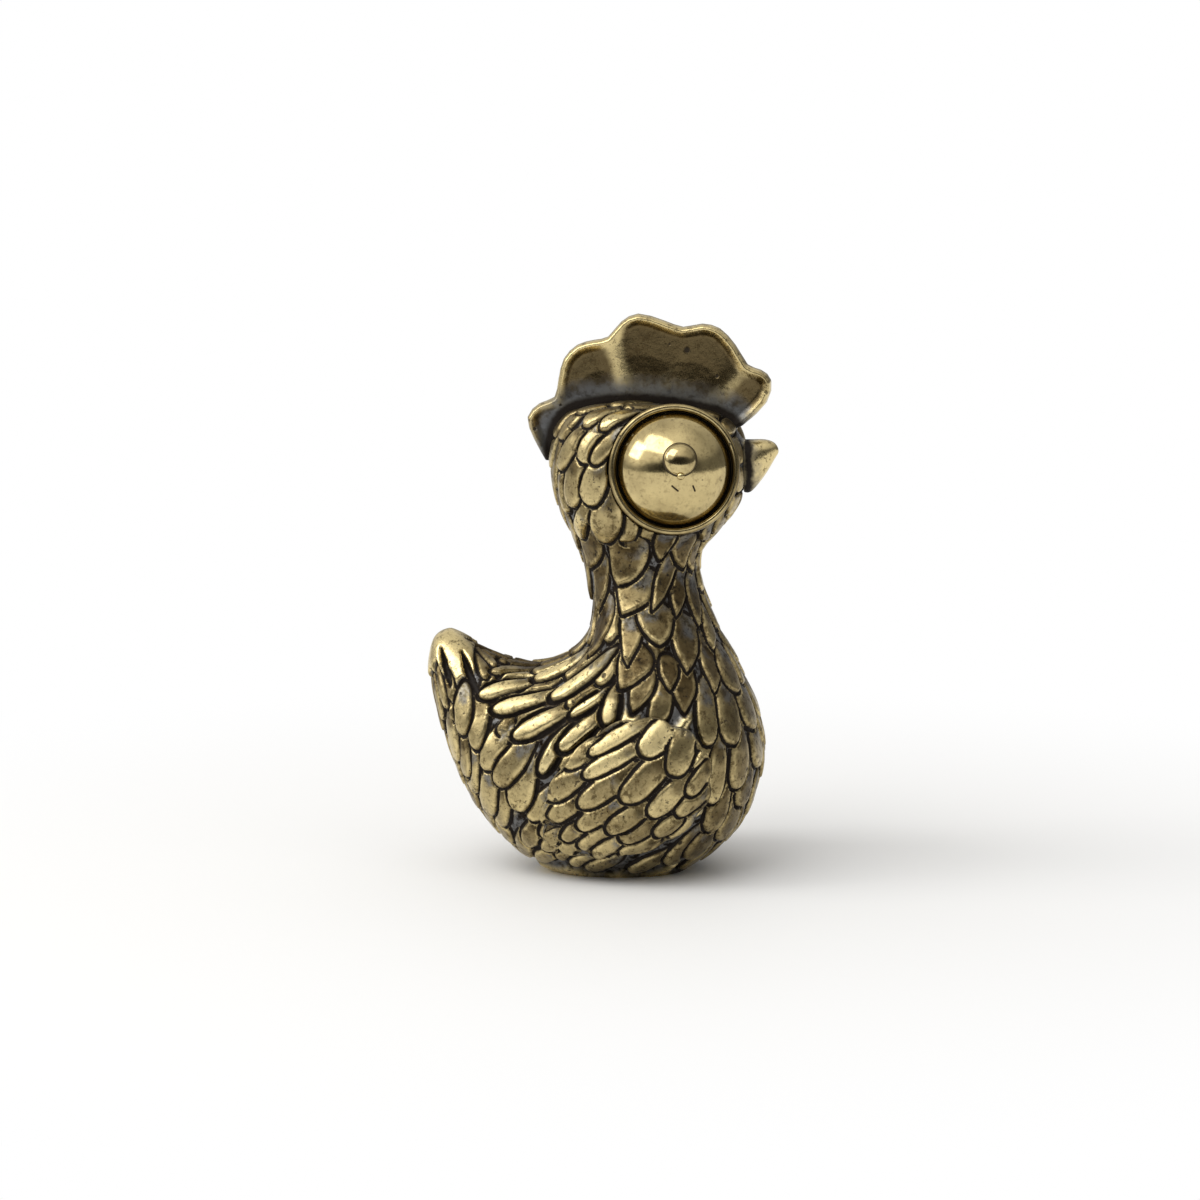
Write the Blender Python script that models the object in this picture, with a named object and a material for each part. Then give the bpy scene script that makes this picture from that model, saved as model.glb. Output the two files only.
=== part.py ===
"""Brass rooster figurine, assembled from eleven solid pieces.

Lengths are in metres and +Z is up. The rooster stands on the plane Z = 0 and faces -Y.
Its left side is at +X. A place on its middle plane is written (forward, up), so forward runs along -Y.
"""

import math
from functools import partial

import bmesh
import bpy
import numpy as np
from mathutils import Matrix, Vector
from mathutils.bvhtree import BVHTree

MM = 0.001

# The gap left on every face between two pieces that fit together
CLEARANCE = 0.15 * MM

# A distance that is outside the figure on every side
OUTSIDE = 100 * MM

# Edges that turn more than this are kept sharp in the shading
SHARP_EDGE = math.radians(40.0)

# Body casting: cross-sections in millimetres from the tail tip, round the breast, to the crown.
# Each has the point on the back, the point on the belly side, and half its width.
BODY_SECTIONS = (
    ((-10.7, 16.4), (-10.7, 16.4), 0.0),
    ((-10.0, 16.2), (-11.6, 15.9), 1.2),
    ((-9.1, 15.7), (-12.0, 14.8), 2.2),
    ((-7.8, 14.9), (-12.1, 13.2), 3.2),
    ((-6.3, 14.4), (-11.6, 11.0), 4.2),
    ((-4.9, 14.2), (-10.5, 7.6), 5.4),
    ((-3.7, 14.4), (-8.4, 3.7), 6.8),
    ((-2.6, 14.9), (-4.6, 0.3), 7.9),
    ((-1.8, 15.5), (0.3, -0.9), 8.6),
    ((-1.3, 16.2), (5.6, -0.1), 8.8),
    ((-1.0, 16.9), (9.4, 2.8), 8.6),
    ((-0.9, 17.7), (11.1, 7.0), 8.2),
    ((-0.9, 18.5), (10.9, 10.5), 7.3),
    ((-1.1, 19.4), (9.6, 13.8), 6.2),
    ((-1.3, 20.4), (8.0, 16.9), 5.2),
    ((-1.7, 21.7), (6.9, 19.8), 4.5),
    ((-2.3, 23.2), (6.9, 21.9), 5.0),
    ((-3.1, 24.8), (8.3, 23.6), 6.0),
    ((-3.7, 27.1), (9.8, 25.8), 6.4),
    ((-3.7, 29.2), (10.1, 28.1), 6.4),
    ((-3.1, 30.9), (9.5, 30.2), 6.0),
    ((-1.5, 32.0), (7.8, 31.6), 4.8),
    ((2.8, 32.4), (2.8, 32.4), 0.0),
)
BODY_FULLNESS = 2.2
BODY_STEPS = 3
BODY_FACETS = 48

# Plumage: rows of six-sided feathers with grooves between them, each row set half a feather aside.
# A feather is longer than the rows are apart by its point, and its top is a share of its outline.
FEATHER_POINT = 0.45
FEATHER_TOP_SHARE = 0.76
FEATHER_GROOVE = 0.34 * MM
FEATHER_ROOT_SHARE = 0.5

# Feathers on the body: the first row and the rows' pitch are counted in sections.
# Grooves are no deeper than a share of the feather's size.
FEATHERS_ROUND = 24
FEATHER_ROWS = 19
FEATHER_FIRST_ROW = 2.0
FEATHER_ROW_PITCH = 0.99
FEATHER_STEEPEST = 0.28

# Where the casting stays plain: at its foot, this far round every seat, and in rings at its two ends
PLAIN_FOOT = 0.8 * MM
PLAIN_MARGIN = 0.25 * MM
PLAIN_TAIL_RINGS = (0.5, 1.2)
PLAIN_CROWN_RINGS = (21.6,)

# Eyes: the axis leaves the middle plane here, turned forwards and tipped up
EYE_AXIS_FORWARD = 4.4 * MM
EYE_AXIS_UP = 27.4 * MM
EYE_TURN = math.radians(8.5)
EYE_TIP = math.radians(7.0)
EYE_SINK = 1.0 * MM
EYE_SEAT_DEPTH = 1.4 * MM
EYE_RIM_WALL = 0.5 * MM
EYE_RIM_BEAD = 0.5 * MM
EYE_DOME_DIAMETER = 7.5 * MM
EYE_DOME_HEIGHT = 2.7 * MM
EYE_RIM_STEPS = 5
EYE_DOME_STEPS = 8
EYE_FACETS = 32

# Pupils: buttons on the domes, placed a little forwards of the middle and above it
PUPIL_TURN = math.radians(3.0)
PUPIL_RISE = math.radians(9.0)
PUPIL_DIAMETER = 2.3 * MM
PUPIL_HEIGHT = 0.55 * MM
PUPIL_PIN_DIAMETER = 0.9 * MM
PUPIL_PIN_LENGTH = 1.2 * MM
PUPIL_STEPS = 4
PUPIL_FACETS = 20

# Beak: a tapered block, let a little way into the face and held by a peg
BEAK_UP = 27.8 * MM
BEAK_LENGTH = 1.85 * MM
BEAK_ROOT_HEIGHT = 3.6 * MM
BEAK_ROOT_WIDTH = 2.9 * MM
BEAK_TIP_RISE = 1.0 * MM
BEAK_TIP_ROUND = 0.55 * MM
BEAK_SEAT = 0.5 * MM
BEAK_PEG_DIAMETER = 1.6 * MM
BEAK_PEG_LENGTH = 1.6 * MM
BEAK_FULLNESS = 2.6
BEAK_STEPS = 3
BEAK_FACETS = 20

# Comb: a blade on the middle plane, drawn in degrees and millimetres about a centre in the head.
# The centre lies a little under the middle of the beak, so that the comb's front end clears the beak.
COMB_CENTRE_FORWARD = 3.0 * MM
COMB_UNDER_BEAK = 0.3 * MM
COMB_CENTRE_UP = BEAK_UP - COMB_UNDER_BEAK
COMB_OUTLINE = (
    (25.0, 7.1),
    (29.5, 9.3),
    (36.0, 10.4),
    (41.5, 10.3),
    (46.5, 9.9),
    (55.0, 10.4),
    (63.0, 10.8),
    (69.5, 10.6),
    (76.0, 10.0),
    (84.0, 10.2),
    (93.5, 10.6),
    (100.0, 10.2),
    (106.5, 9.4),
    (112.5, 9.5),
    (119.5, 9.7),
    (127.5, 9.4),
    (135.0, 8.6),
    (142.5, 8.0),
    (149.0, 8.6),
    (157.0, 8.9),
    (165.5, 8.0),
    (176.0, 6.8),
)
COMB_RIDGES = (46.0, 76.0, 105.0, 142.5)
COMB_THICKNESS = 1.6 * MM
COMB_TENON = 1.2 * MM
COMB_HOLLOW = 0.35 * MM
COMB_HOLLOW_SHARES = (0.0, 0.3, 0.6, 0.85, 1.0)
COMB_HOLLOW_FLATNESS = 0.5
COMB_EDGE_TURNS = (math.radians(35.0), math.radians(65.0))
COMB_STEPS = 2

# Wings: egg-shaped plates on the flanks, thick at the shoulder and thin behind.
# Their feather rows are placed from -1 at the rear end to 1 at the shoulder.
WING_CENTRE_FORWARD = 2.0 * MM
WING_CENTRE_UP = 6.6 * MM
WING_LENGTH = 12.4 * MM
WING_DEPTH = 8.6 * MM
WING_SLOPE = math.radians(32.0)
WING_TAPER = 0.18
WING_SHOULDER_THICKNESS = 1.1 * MM
WING_REAR_THICKNESS = 0.45 * MM
WING_EDGE = 0.25 * MM
WING_FEATHERS_ACROSS = 5
WING_FEATHER_ROWS = 6
WING_FIRST_ROW = -0.86
WING_ROW_PITCH = 0.27
WING_GROOVE_SHARE = 0.55
WING_END_RINGS = (0.94, 0.995)
WING_BACK_FACETS = 6
WING_PEG_DIAMETER = 2.0 * MM
WING_PEG_LENGTH = 2.0 * MM
PEG_FACETS = 20

# Finishes: base colour, roughness
FINISHES = {
    "plumage_brass": ((0.42, 0.33, 0.14), 0.36),
    "comb_brass": ((0.36, 0.29, 0.13), 0.34),
    "beak_brass": ((0.40, 0.32, 0.15), 0.38),
    "eye_brass": ((0.58, 0.47, 0.20), 0.18),
}

SIDES = {"left": 1, "right": -1}


def place(forward, up, x=0.0):
    """A point in the model from its place on the middle plane and its distance to the left."""
    return Vector((x, -forward, up))


def smooth(values, at, still_ends=False):
    """A curve through evenly counted values, read at the places given as counts from the first value."""
    values = np.asarray(values, float)
    slopes = np.gradient(values, axis=0)
    if still_ends:
        slopes[0] = 0
        slopes[-1] = 0
    first = np.minimum(np.floor(at).astype(int), len(values) - 2)
    t = (at - first).reshape((-1,) + (1,) * (values.ndim - 1))
    start = values[first] * (1 + 2 * t) * (1 - t) ** 2 + slopes[first] * t * (1 - t) ** 2
    end = values[first + 1] * t**2 * (3 - 2 * t) + slopes[first + 1] * t**2 * (t - 1)
    return start + end


def rounded(angle, fullness):
    """Cosine and sine of a superellipse, which is fuller than a circle above 2."""
    c, s = math.cos(angle), math.sin(angle)
    power = 2 / fullness
    return math.copysign(abs(c) ** power, c), math.copysign(abs(s) ** power, s)


def loft_curves(sections, at):
    """Centre, reach and half width of a loft at the places given as counts from its first section."""
    ends = np.array([s[:2] for s in sections], float)
    centres = smooth(ends.mean(axis=1), at, still_ends=True)
    reaches = smooth((ends[:, 1] - ends[:, 0]) / 2, at)
    widths = smooth([s[2] for s in sections], at)
    return centres, reaches, widths


def loft_point(centre, reach, width, angle, fullness):
    """A point on a loft's skin, at an angle from the first point of its sections."""
    c, s = rounded(angle, fullness)
    return place(*(centre + reach * c), width * s)


def loft(sections, steps, facets, fullness):
    """A closed mesh through sections of (point, opposite point, half width); one of no size is a pole."""
    at = np.linspace(0, len(sections) - 1, (len(sections) - 1) * steps + 1)
    bm = bmesh.new()
    rings = []
    for centre, reach, width in zip(*loft_curves(sections, at)):
        count = facets if width > 0 else 1
        angles = [2 * math.pi * (k + 0.5) / facets for k in range(count)]
        rings.append([bm.verts.new(loft_point(centre, reach, width, angle, fullness)) for angle in angles])
    join_rings(bm, rings)
    for ring in (rings[0], rings[-1]):
        if len(ring) > 1:
            bm.faces.new(ring)
    bmesh.ops.recalc_face_normals(bm, faces=bm.faces)
    return bm


def join_rings(bm, rings):
    """Faces between neighbouring rings of vertices, as a fan where one is a single vertex."""
    for a, b in zip(rings, rings[1:]):
        count = max(len(a), len(b))
        for k in range(count):
            corners = [a[k % len(a)], a[(k + 1) % len(a)], b[(k + 1) % len(b)], b[k % len(b)]]
            bm.faces.new(list(dict.fromkeys(corners)))


def turned(profile, facets, ring=False):
    """A closed mesh turned about Z from (radius, height) points; a ring's profile is itself a loop."""
    bm = bmesh.new()
    rings = []
    for radius, height in profile:
        count = facets if radius > 0 else 1
        turn = 2 * math.pi / count
        points = [(radius * math.cos(turn * k), radius * math.sin(turn * k), height) for k in range(count)]
        rings.append([bm.verts.new(point) for point in points])
    join_rings(bm, rings + rings[:1] if ring else rings)
    bmesh.ops.recalc_face_normals(bm, faces=bm.faces)
    return bm


def finish(name):
    """The brass material of that name."""
    found = bpy.data.materials.get(name)
    if found:
        return found
    colour, roughness = FINISHES[name]
    material = bpy.data.materials.new(name)
    material.use_nodes = True
    shader = material.node_tree.nodes["Principled BSDF"]
    shader.inputs["Base Color"].default_value = (*colour, 1.0)
    shader.inputs["Roughness"].default_value = roughness
    shader.inputs["Metallic"].default_value = 1.0
    return material


def add_piece(name, bm, material=None, matrix=None):
    """A named object from a mesh; one with no material is a tool for cutting or joining, and stays hidden."""
    mesh = bpy.data.meshes.new(name)
    bm.to_mesh(mesh)
    bm.free()
    piece = bpy.data.objects.new(name, mesh)
    bpy.context.scene.collection.objects.link(piece)
    if matrix:
        piece.matrix_world = matrix
    if material:
        mesh.materials.append(finish(material))
        mesh.shade_smooth()
        mesh.set_sharp_from_angle(angle=SHARP_EDGE)
    else:
        piece.hide_render = True
        piece.display_type = "WIRE"
    return piece


def combine(piece, tool, operation):
    """Cuts a tool out of a piece, or joins it on."""
    modifier = piece.modifiers.new(tool.name, "BOOLEAN")
    modifier.operation = operation
    modifier.object = tool
    modifier.solver = "EXACT"


def body_sections():
    """The casting's cross-sections in metres."""
    return [(np.array(a) * MM, np.array(b) * MM, w * MM) for a, b, w in BODY_SECTIONS]


def body_point(at, angle):
    """A point on the smooth casting, at a place counted in sections and at an angle from the back."""
    centres, reaches, widths = loft_curves(body_sections(), np.array([at]))
    return loft_point(centres[0], reaches[0], widths[0], angle, BODY_FULLNESS)


def is_plain(point, skin):
    """Whether a place on the casting stays smooth: at the foot, under a wing or round a seat."""
    forward, up, out = -point.y, point.z, abs(point.x)
    at_foot = up < PLAIN_FOOT
    above = up - COMB_CENTRE_UP
    at_comb = above > 0 and out < COMB_THICKNESS / 2 + CLEARANCE + PLAIN_MARGIN
    high = abs(up - BEAK_UP) < BEAK_ROOT_HEIGHT / 2 + CLEARANCE + PLAIN_MARGIN
    at_beak = high and forward > 0 and out < BEAK_ROOT_WIDTH / 2 + CLEARANCE + PLAIN_MARGIN
    return at_foot or at_comb or at_beak or at_eye(point, skin) or under_wing(forward, up)


def at_eye(point, skin):
    """Whether a place on the casting is at the socket of an eye."""
    side = math.copysign(1, point.x)
    x, y, z = eye_frame(skin, side).inverted() @ point
    return z > -EYE_SEAT_DEPTH and math.hypot(x, y) < eye_rim_radius() + CLEARANCE + PLAIN_MARGIN


def under_wing(forward, up):
    """Whether a place seen from the side lies within the wing's outline."""
    ahead = forward - WING_CENTRE_FORWARD
    above = up - WING_CENTRE_UP
    along = ahead * math.cos(WING_SLOPE) + above * math.sin(WING_SLOPE)
    across = above * math.cos(WING_SLOPE) - ahead * math.sin(WING_SLOPE)
    half_length = WING_LENGTH / 2 + PLAIN_MARGIN
    half_depth = (WING_DEPTH / 2 + PLAIN_MARGIN) * (1 + WING_TAPER * along / half_length)
    return math.hypot(along / half_length, across / half_depth) < 1


def groove_depth(at, angle):
    """Depth of the grooves round a feather, which are shallower where feathers are small."""
    here = body_point(at, angle)
    width = 2 * (body_point(at, angle + math.pi / FEATHERS_ROUND) - here).length
    length = 2 * (body_point(at + FEATHER_ROW_PITCH / 2, angle) - here).length
    return min(FEATHER_GROOVE, FEATHER_STEEPEST * min(width, length))


def body_vert(bm, skin, row, column, groove):
    """A vertex at counts of feather rows and half feathers, sunk by a share of the groove if not plain."""
    at = FEATHER_FIRST_ROW + FEATHER_ROW_PITCH * row
    angle = math.pi * column / FEATHERS_ROUND
    point = body_point(at, angle)
    if groove and not is_plain(point, skin):
        _, normal, _, _ = skin.find_nearest(point)
        point -= normal * groove_depth(at, angle) * groove
    return bm.verts.new(point)


def groove_rows(rows, columns, vert):
    """Zigzag grooves between rows: the points of a row's feathers by turns with the corners beside them."""
    grooves = []
    for row in range(rows + 1):
        rises = [FEATHER_POINT if (row + k) % 2 else 0.0 for k in range(columns)]
        grooves.append([vert(row + rise, k, 1.0) for k, rise in enumerate(rises)])
    return grooves


def feather_outline(lower, upper, k):
    """The six corners of a feather between two grooves, from its point on."""
    after = (k + 1) % len(lower)
    return [lower[k], lower[after], upper[after], upper[k], upper[k - 1], lower[k - 1]]


def add_feather(bm, outline, row, k, vert):
    """One feather inside its groove: raised at its point, with its root dipping under the next row."""
    middle = (1 + FEATHER_POINT) / 2
    corners = (
        (0.0, 0, 0.0),
        (FEATHER_POINT, 1, 0.0),
        (1.0, 1, FEATHER_ROOT_SHARE / 2),
        (1 + FEATHER_POINT, 0, FEATHER_ROOT_SHARE),
        (1.0, -1, FEATHER_ROOT_SHARE / 2),
        (FEATHER_POINT, -1, 0.0),
    )
    top = []
    for rise, aside, groove in corners:
        up = middle + (rise - middle) * FEATHER_TOP_SHARE
        top.append(vert(row + up, k + aside * FEATHER_TOP_SHARE, groove))
    join_rings(bm, [outline, top])
    bm.faces.new(top)


def plumage_mesh(skin):
    """The casting with its feathers, plain at the tip of the tail and on the crown."""
    bm = bmesh.new()
    vert = partial(body_vert, bm, skin)
    columns = 2 * FEATHERS_ROUND
    grooves = groove_rows(FEATHER_ROWS, columns, vert)
    for row in range(FEATHER_ROWS):
        for k in range(row % 2, columns, 2):
            outline = feather_outline(grooves[row], grooves[row + 1], k)
            if all(is_plain(corner.co, skin) for corner in outline):
                bm.faces.new(outline)
            else:
                add_feather(bm, outline, row, k, vert)
    angles = [2 * math.pi * k / columns for k in range(columns)]
    tail = [[bm.verts.new(body_point(at, angle)) for angle in angles] for at in PLAIN_TAIL_RINGS]
    crown = [[bm.verts.new(body_point(at, angle)) for angle in angles] for at in PLAIN_CROWN_RINGS]
    tail_tip = [bm.verts.new(body_point(0, 0))]
    crown_top = [bm.verts.new(body_point(len(BODY_SECTIONS) - 1, 0))]
    join_rings(bm, [tail_tip, *tail, grooves[0]])
    join_rings(bm, [grooves[-1], *crown, crown_top])
    return bm


def cut_underside(bm):
    """Cuts the casting flat on Z = 0."""
    cut = bmesh.ops.bisect_plane(
        bm,
        geom=bm.verts[:] + bm.edges[:] + bm.faces[:],
        plane_co=(0, 0, 0),
        plane_no=(0, 0, -1),
        clear_outer=True,
    )
    rim = [e for e in cut["geom_cut"] if isinstance(e, bmesh.types.BMEdge)]
    bmesh.ops.contextual_create(bm, geom=rim)
    bmesh.ops.recalc_face_normals(bm, faces=bm.faces)


def eye_frame(skin, side):
    """The matrix of an eye: Z outwards, Y upwards and the origin on the seat in the side of the head."""
    outward = Vector(
        (
            side * math.cos(EYE_TIP) * math.cos(EYE_TURN),
            -math.cos(EYE_TIP) * math.sin(EYE_TURN),
            math.sin(EYE_TIP),
        )
    )
    level = Vector((0, 0, 1)).cross(outward).normalized()
    hit = skin.ray_cast(place(EYE_AXIS_FORWARD, EYE_AXIS_UP), outward)[0]
    frame = Matrix((level, outward.cross(level), outward)).transposed().to_4x4()
    frame.translation = hit - outward * EYE_SINK
    return frame


def pupil_frame(frame, side):
    """The eye's matrix, turned about the middle of its ball to where the pupil sits."""
    middle = Matrix.Translation((0, 0, EYE_DOME_HEIGHT - dome_radius()))
    turn = Matrix.Rotation(-side * PUPIL_TURN, 4, "Y") @ Matrix.Rotation(-PUPIL_RISE, 4, "X")
    return frame @ middle @ turn @ middle.inverted()


def dome_radius():
    """Radius of the sphere that the eye's dome is a cap of."""
    half = EYE_DOME_DIAMETER / 2
    return (half**2 + EYE_DOME_HEIGHT**2) / (2 * EYE_DOME_HEIGHT)


def dome_height_at(radius, offset=0.0):
    """Height of the dome over its seat at a distance from its axis, or of a surface offset from it."""
    ball = dome_radius()
    return math.sqrt((ball + offset) ** 2 - radius**2) + EYE_DOME_HEIGHT - ball


def eye_rim_radius():
    """Outer radius of the ring round the dome."""
    return EYE_DOME_DIAMETER / 2 + CLEARANCE + EYE_RIM_WALL


def eye_rim_profile():
    """A ring with a rounded top edge, as a loop."""
    outer = eye_rim_radius()
    inner = outer - EYE_RIM_WALL
    middle = (outer + inner) / 2
    half = (outer - inner) / 2
    points = [(inner, -EYE_SEAT_DEPTH), (outer, -EYE_SEAT_DEPTH)]
    for k in range(EYE_RIM_STEPS + 1):
        angle = math.pi * k / EYE_RIM_STEPS
        points.append((middle + half * math.cos(angle), EYE_RIM_BEAD * math.sin(angle)))
    return points


def eye_dome_profile():
    """A domed plug."""
    half = EYE_DOME_DIAMETER / 2
    ball = dome_radius()
    widest = math.asin(half / ball)
    points = [(0, -EYE_SEAT_DEPTH), (half, -EYE_SEAT_DEPTH)]
    for k in range(EYE_DOME_STEPS):
        radius = ball * math.sin(widest * (1 - k / EYE_DOME_STEPS))
        points.append((radius, dome_height_at(radius)))
    return points + [(0, EYE_DOME_HEIGHT)]


def pupil_hole_profile():
    """The drill that makes room for the pupil's pin in the dome."""
    hole = PUPIL_PIN_DIAMETER / 2 + CLEARANCE
    end = EYE_DOME_HEIGHT - PUPIL_PIN_LENGTH - CLEARANCE
    mouth = EYE_DOME_HEIGHT + PUPIL_HEIGHT
    return [(0, end), (hole, end), (hole, mouth), (0, mouth)]


def pupil_profile():
    """A pin under a rounded button whose underside follows the dome."""
    half = PUPIL_DIAMETER / 2
    pin = PUPIL_PIN_DIAMETER / 2
    pin_end = EYE_DOME_HEIGHT - PUPIL_PIN_LENGTH
    points = [(0, pin_end), (pin, pin_end)]
    for radius in (pin, half):
        points.append((radius, dome_height_at(radius, CLEARANCE)))
    edge = dome_height_at(half, CLEARANCE)
    top = EYE_DOME_HEIGHT + PUPIL_HEIGHT
    for k in range(1, PUPIL_STEPS):
        angle = math.pi / 2 * k / PUPIL_STEPS
        points.append((half * math.cos(angle), edge + (top - edge) * math.sin(angle)))
    return points + [(0, top)]


def beak_mesh(face):
    """The beak from its seat in the face to its rounded tip."""
    half_width = BEAK_ROOT_WIDTH / 2
    low = BEAK_UP - BEAK_ROOT_HEIGHT / 2
    high = BEAK_UP + BEAK_ROOT_HEIGHT / 2
    tip_up = BEAK_UP + BEAK_TIP_RISE
    tip_low = tip_up - BEAK_TIP_ROUND
    tip_high = tip_up + BEAK_TIP_ROUND
    back = face - BEAK_SEAT
    middle = face + BEAK_LENGTH / 2
    tip = face + BEAK_LENGTH
    near = tip - BEAK_TIP_ROUND / 2
    sections = [
        ((back, low), (back, high), half_width),
        ((face, low), (face, high), half_width),
        ((middle, (low + tip_low) / 2), (middle, high), (half_width + BEAK_TIP_ROUND) / 2),
        ((near, tip_low), (near, tip_high), BEAK_TIP_ROUND),
        ((tip, tip_up), (tip, tip_up), 0.0),
    ]
    return loft(sections, BEAK_STEPS, BEAK_FACETS, BEAK_FULLNESS)


def beak_pocket_mesh(face):
    """The block that cuts the beak's seat into the face."""
    half_width = BEAK_ROOT_WIDTH / 2 + CLEARANCE
    low = BEAK_UP - BEAK_ROOT_HEIGHT / 2 - CLEARANCE
    high = BEAK_UP + BEAK_ROOT_HEIGHT / 2 + CLEARANCE
    ends = (face - BEAK_SEAT - CLEARANCE, face + BEAK_LENGTH)
    sections = [((end, low), (end, high), half_width) for end in ends]
    return loft(sections, 1, BEAK_FACETS, BEAK_FULLNESS)


def peg_mesh(start, end, diameter):
    """A round peg between two points."""
    along = end - start
    radius = diameter / 2
    bm = turned([(0, 0), (radius, 0), (radius, along.length), (0, along.length)], PEG_FACETS)
    turn = along.to_track_quat("Z", "X").to_matrix().to_4x4()
    bm.transform(Matrix.Translation(start) @ turn)
    return bm


def comb_columns(skin):
    """Along the comb's outline: each ray, the crown's radius, the edge's radius and the dish's share."""
    centre = place(COMB_CENTRE_FORWARD, COMB_CENTRE_UP)
    at = np.linspace(0, len(COMB_OUTLINE) - 1, (len(COMB_OUTLINE) - 1) * COMB_STEPS + 1)
    ridges = (COMB_OUTLINE[0][0], *COMB_RIDGES, COMB_OUTLINE[-1][0])
    columns = []
    for degrees, radius in smooth(COMB_OUTLINE, at):
        angle = math.radians(degrees)
        ray = place(math.cos(angle), math.sin(angle))
        crown = (skin.ray_cast(centre, ray)[0] - centre).length
        lobe = np.interp(degrees, ridges, range(len(ridges)))
        dish = abs(math.sin(math.pi * lobe))
        columns.append((ray, crown, max(radius * MM, crown + CLEARANCE), dish))
    return columns


def comb_mesh(skin):
    """The blade from the bottom of its tenon to its rounded, lobed edge, dished between its ridges."""
    centre = place(COMB_CENTRE_FORWARD, COMB_CENTRE_UP)
    half = COMB_THICKNESS / 2
    bm = bmesh.new()
    loops = []
    for ray, crown, edge, dish in comb_columns(skin):
        bead = min(half, (edge - crown) / 2)
        levels = [(crown - COMB_TENON, half)]
        for share in COMB_HOLLOW_SHARES:
            hollow = COMB_HOLLOW * dish * math.sin(math.pi * share) ** COMB_HOLLOW_FLATNESS
            levels.append((crown + (edge - bead - crown) * share, half - hollow))
        for turn in COMB_EDGE_TURNS:
            levels.append((edge - bead + bead * math.sin(turn), half * math.cos(turn)))
        left = [bm.verts.new(centre + ray * r + Vector((x, 0, 0))) for r, x in levels]
        right = [bm.verts.new(centre + ray * r - Vector((x, 0, 0))) for r, x in levels]
        loops.append(left + [bm.verts.new(centre + ray * edge)] + right[::-1])
    join_rings(bm, loops)
    bm.faces.new(loops[0])
    bm.faces.new(loops[-1])
    bmesh.ops.recalc_face_normals(bm, faces=bm.faces)
    return bm


def comb_slot_mesh(skin):
    """The block that cuts the comb's slot along the crown."""
    centre = place(COMB_CENTRE_FORWARD, COMB_CENTRE_UP)
    columns = comb_columns(skin)
    half = COMB_THICKNESS / 2 + CLEARANCE
    bm = bmesh.new()
    loops = []
    for number, (ray, crown, _, _) in enumerate(columns):
        floor = crown - COMB_TENON - CLEARANCE
        over = crown + COMB_TENON
        beyond = {0: -1, len(columns) - 1: 1}.get(number, 0) * CLEARANCE
        shift = Vector((0, ray.z, -ray.y)) * beyond
        corners = ((floor, half), (over, half), (over, -half), (floor, -half))
        loops.append([bm.verts.new(centre + ray * r + shift + Vector((x, 0, 0))) for r, x in corners])
    join_rings(bm, loops)
    bm.faces.new(loops[0])
    bm.faces.new(loops[-1])
    bmesh.ops.recalc_face_normals(bm, faces=bm.faces)
    return bm


def flank(skin, side, forward, up):
    """The point and the outward normal of the flank at a place seen from that side."""
    far = place(forward, up, side * OUTSIDE)
    hit, normal, _, _ = skin.ray_cast(far, Vector((-side, 0, 0)))
    return hit, normal


def wing_place(share, angle):
    """A place on the wing's outline, or inside it at a share of the way from its centre, as (forward, up)."""
    along = share * math.cos(angle) * WING_LENGTH / 2
    across = share * math.sin(angle) * WING_DEPTH / 2 * (1 + WING_TAPER * math.cos(angle))
    forward = WING_CENTRE_FORWARD + along * math.cos(WING_SLOPE) - across * math.sin(WING_SLOPE)
    up = WING_CENTRE_UP + along * math.sin(WING_SLOPE) + across * math.cos(WING_SLOPE)
    return forward, up


def wing_thickness(share, angle):
    """The wing's thickness there: thin behind, thick at the shoulder, rounded down to its edge."""
    front = (1 + share * math.cos(angle)) / 2
    full = WING_REAR_THICKNESS + (WING_SHOULDER_THICKNESS - WING_REAR_THICKNESS) * front
    return WING_EDGE + (full - WING_EDGE) * math.sqrt(1 - share**4)


def wing_spot(along, across):
    """The wing's share and angle at a share of its half length, and of its half depth there."""
    aside = across * math.sqrt(1 - along**2)
    return math.hypot(along, aside), math.atan2(aside, along)


def wing_back_vert(bm, skin, side, along, across):
    """A vertex of the wing's back, a clearance away from the flank."""
    hit, normal = flank(skin, side, *wing_place(*wing_spot(along, across)))
    return bm.verts.new(hit + normal * CLEARANCE)


def wing_front_vert(bm, skin, side, row, column, groove):
    """A vertex of the wing's front at counts of rows and half feathers, sunk by a share of the groove."""
    along = WING_FIRST_ROW + WING_ROW_PITCH * row
    across = column / WING_FEATHERS_ACROSS - 1
    spot = wing_spot(along, across)
    hit, normal = flank(skin, side, *wing_place(*spot))
    thick = wing_thickness(*spot)
    if abs(across) < 1:
        thick -= groove * min(FEATHER_GROOVE, WING_GROOVE_SHARE * thick)
    return bm.verts.new(hit + normal * (CLEARANCE + thick))


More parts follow.
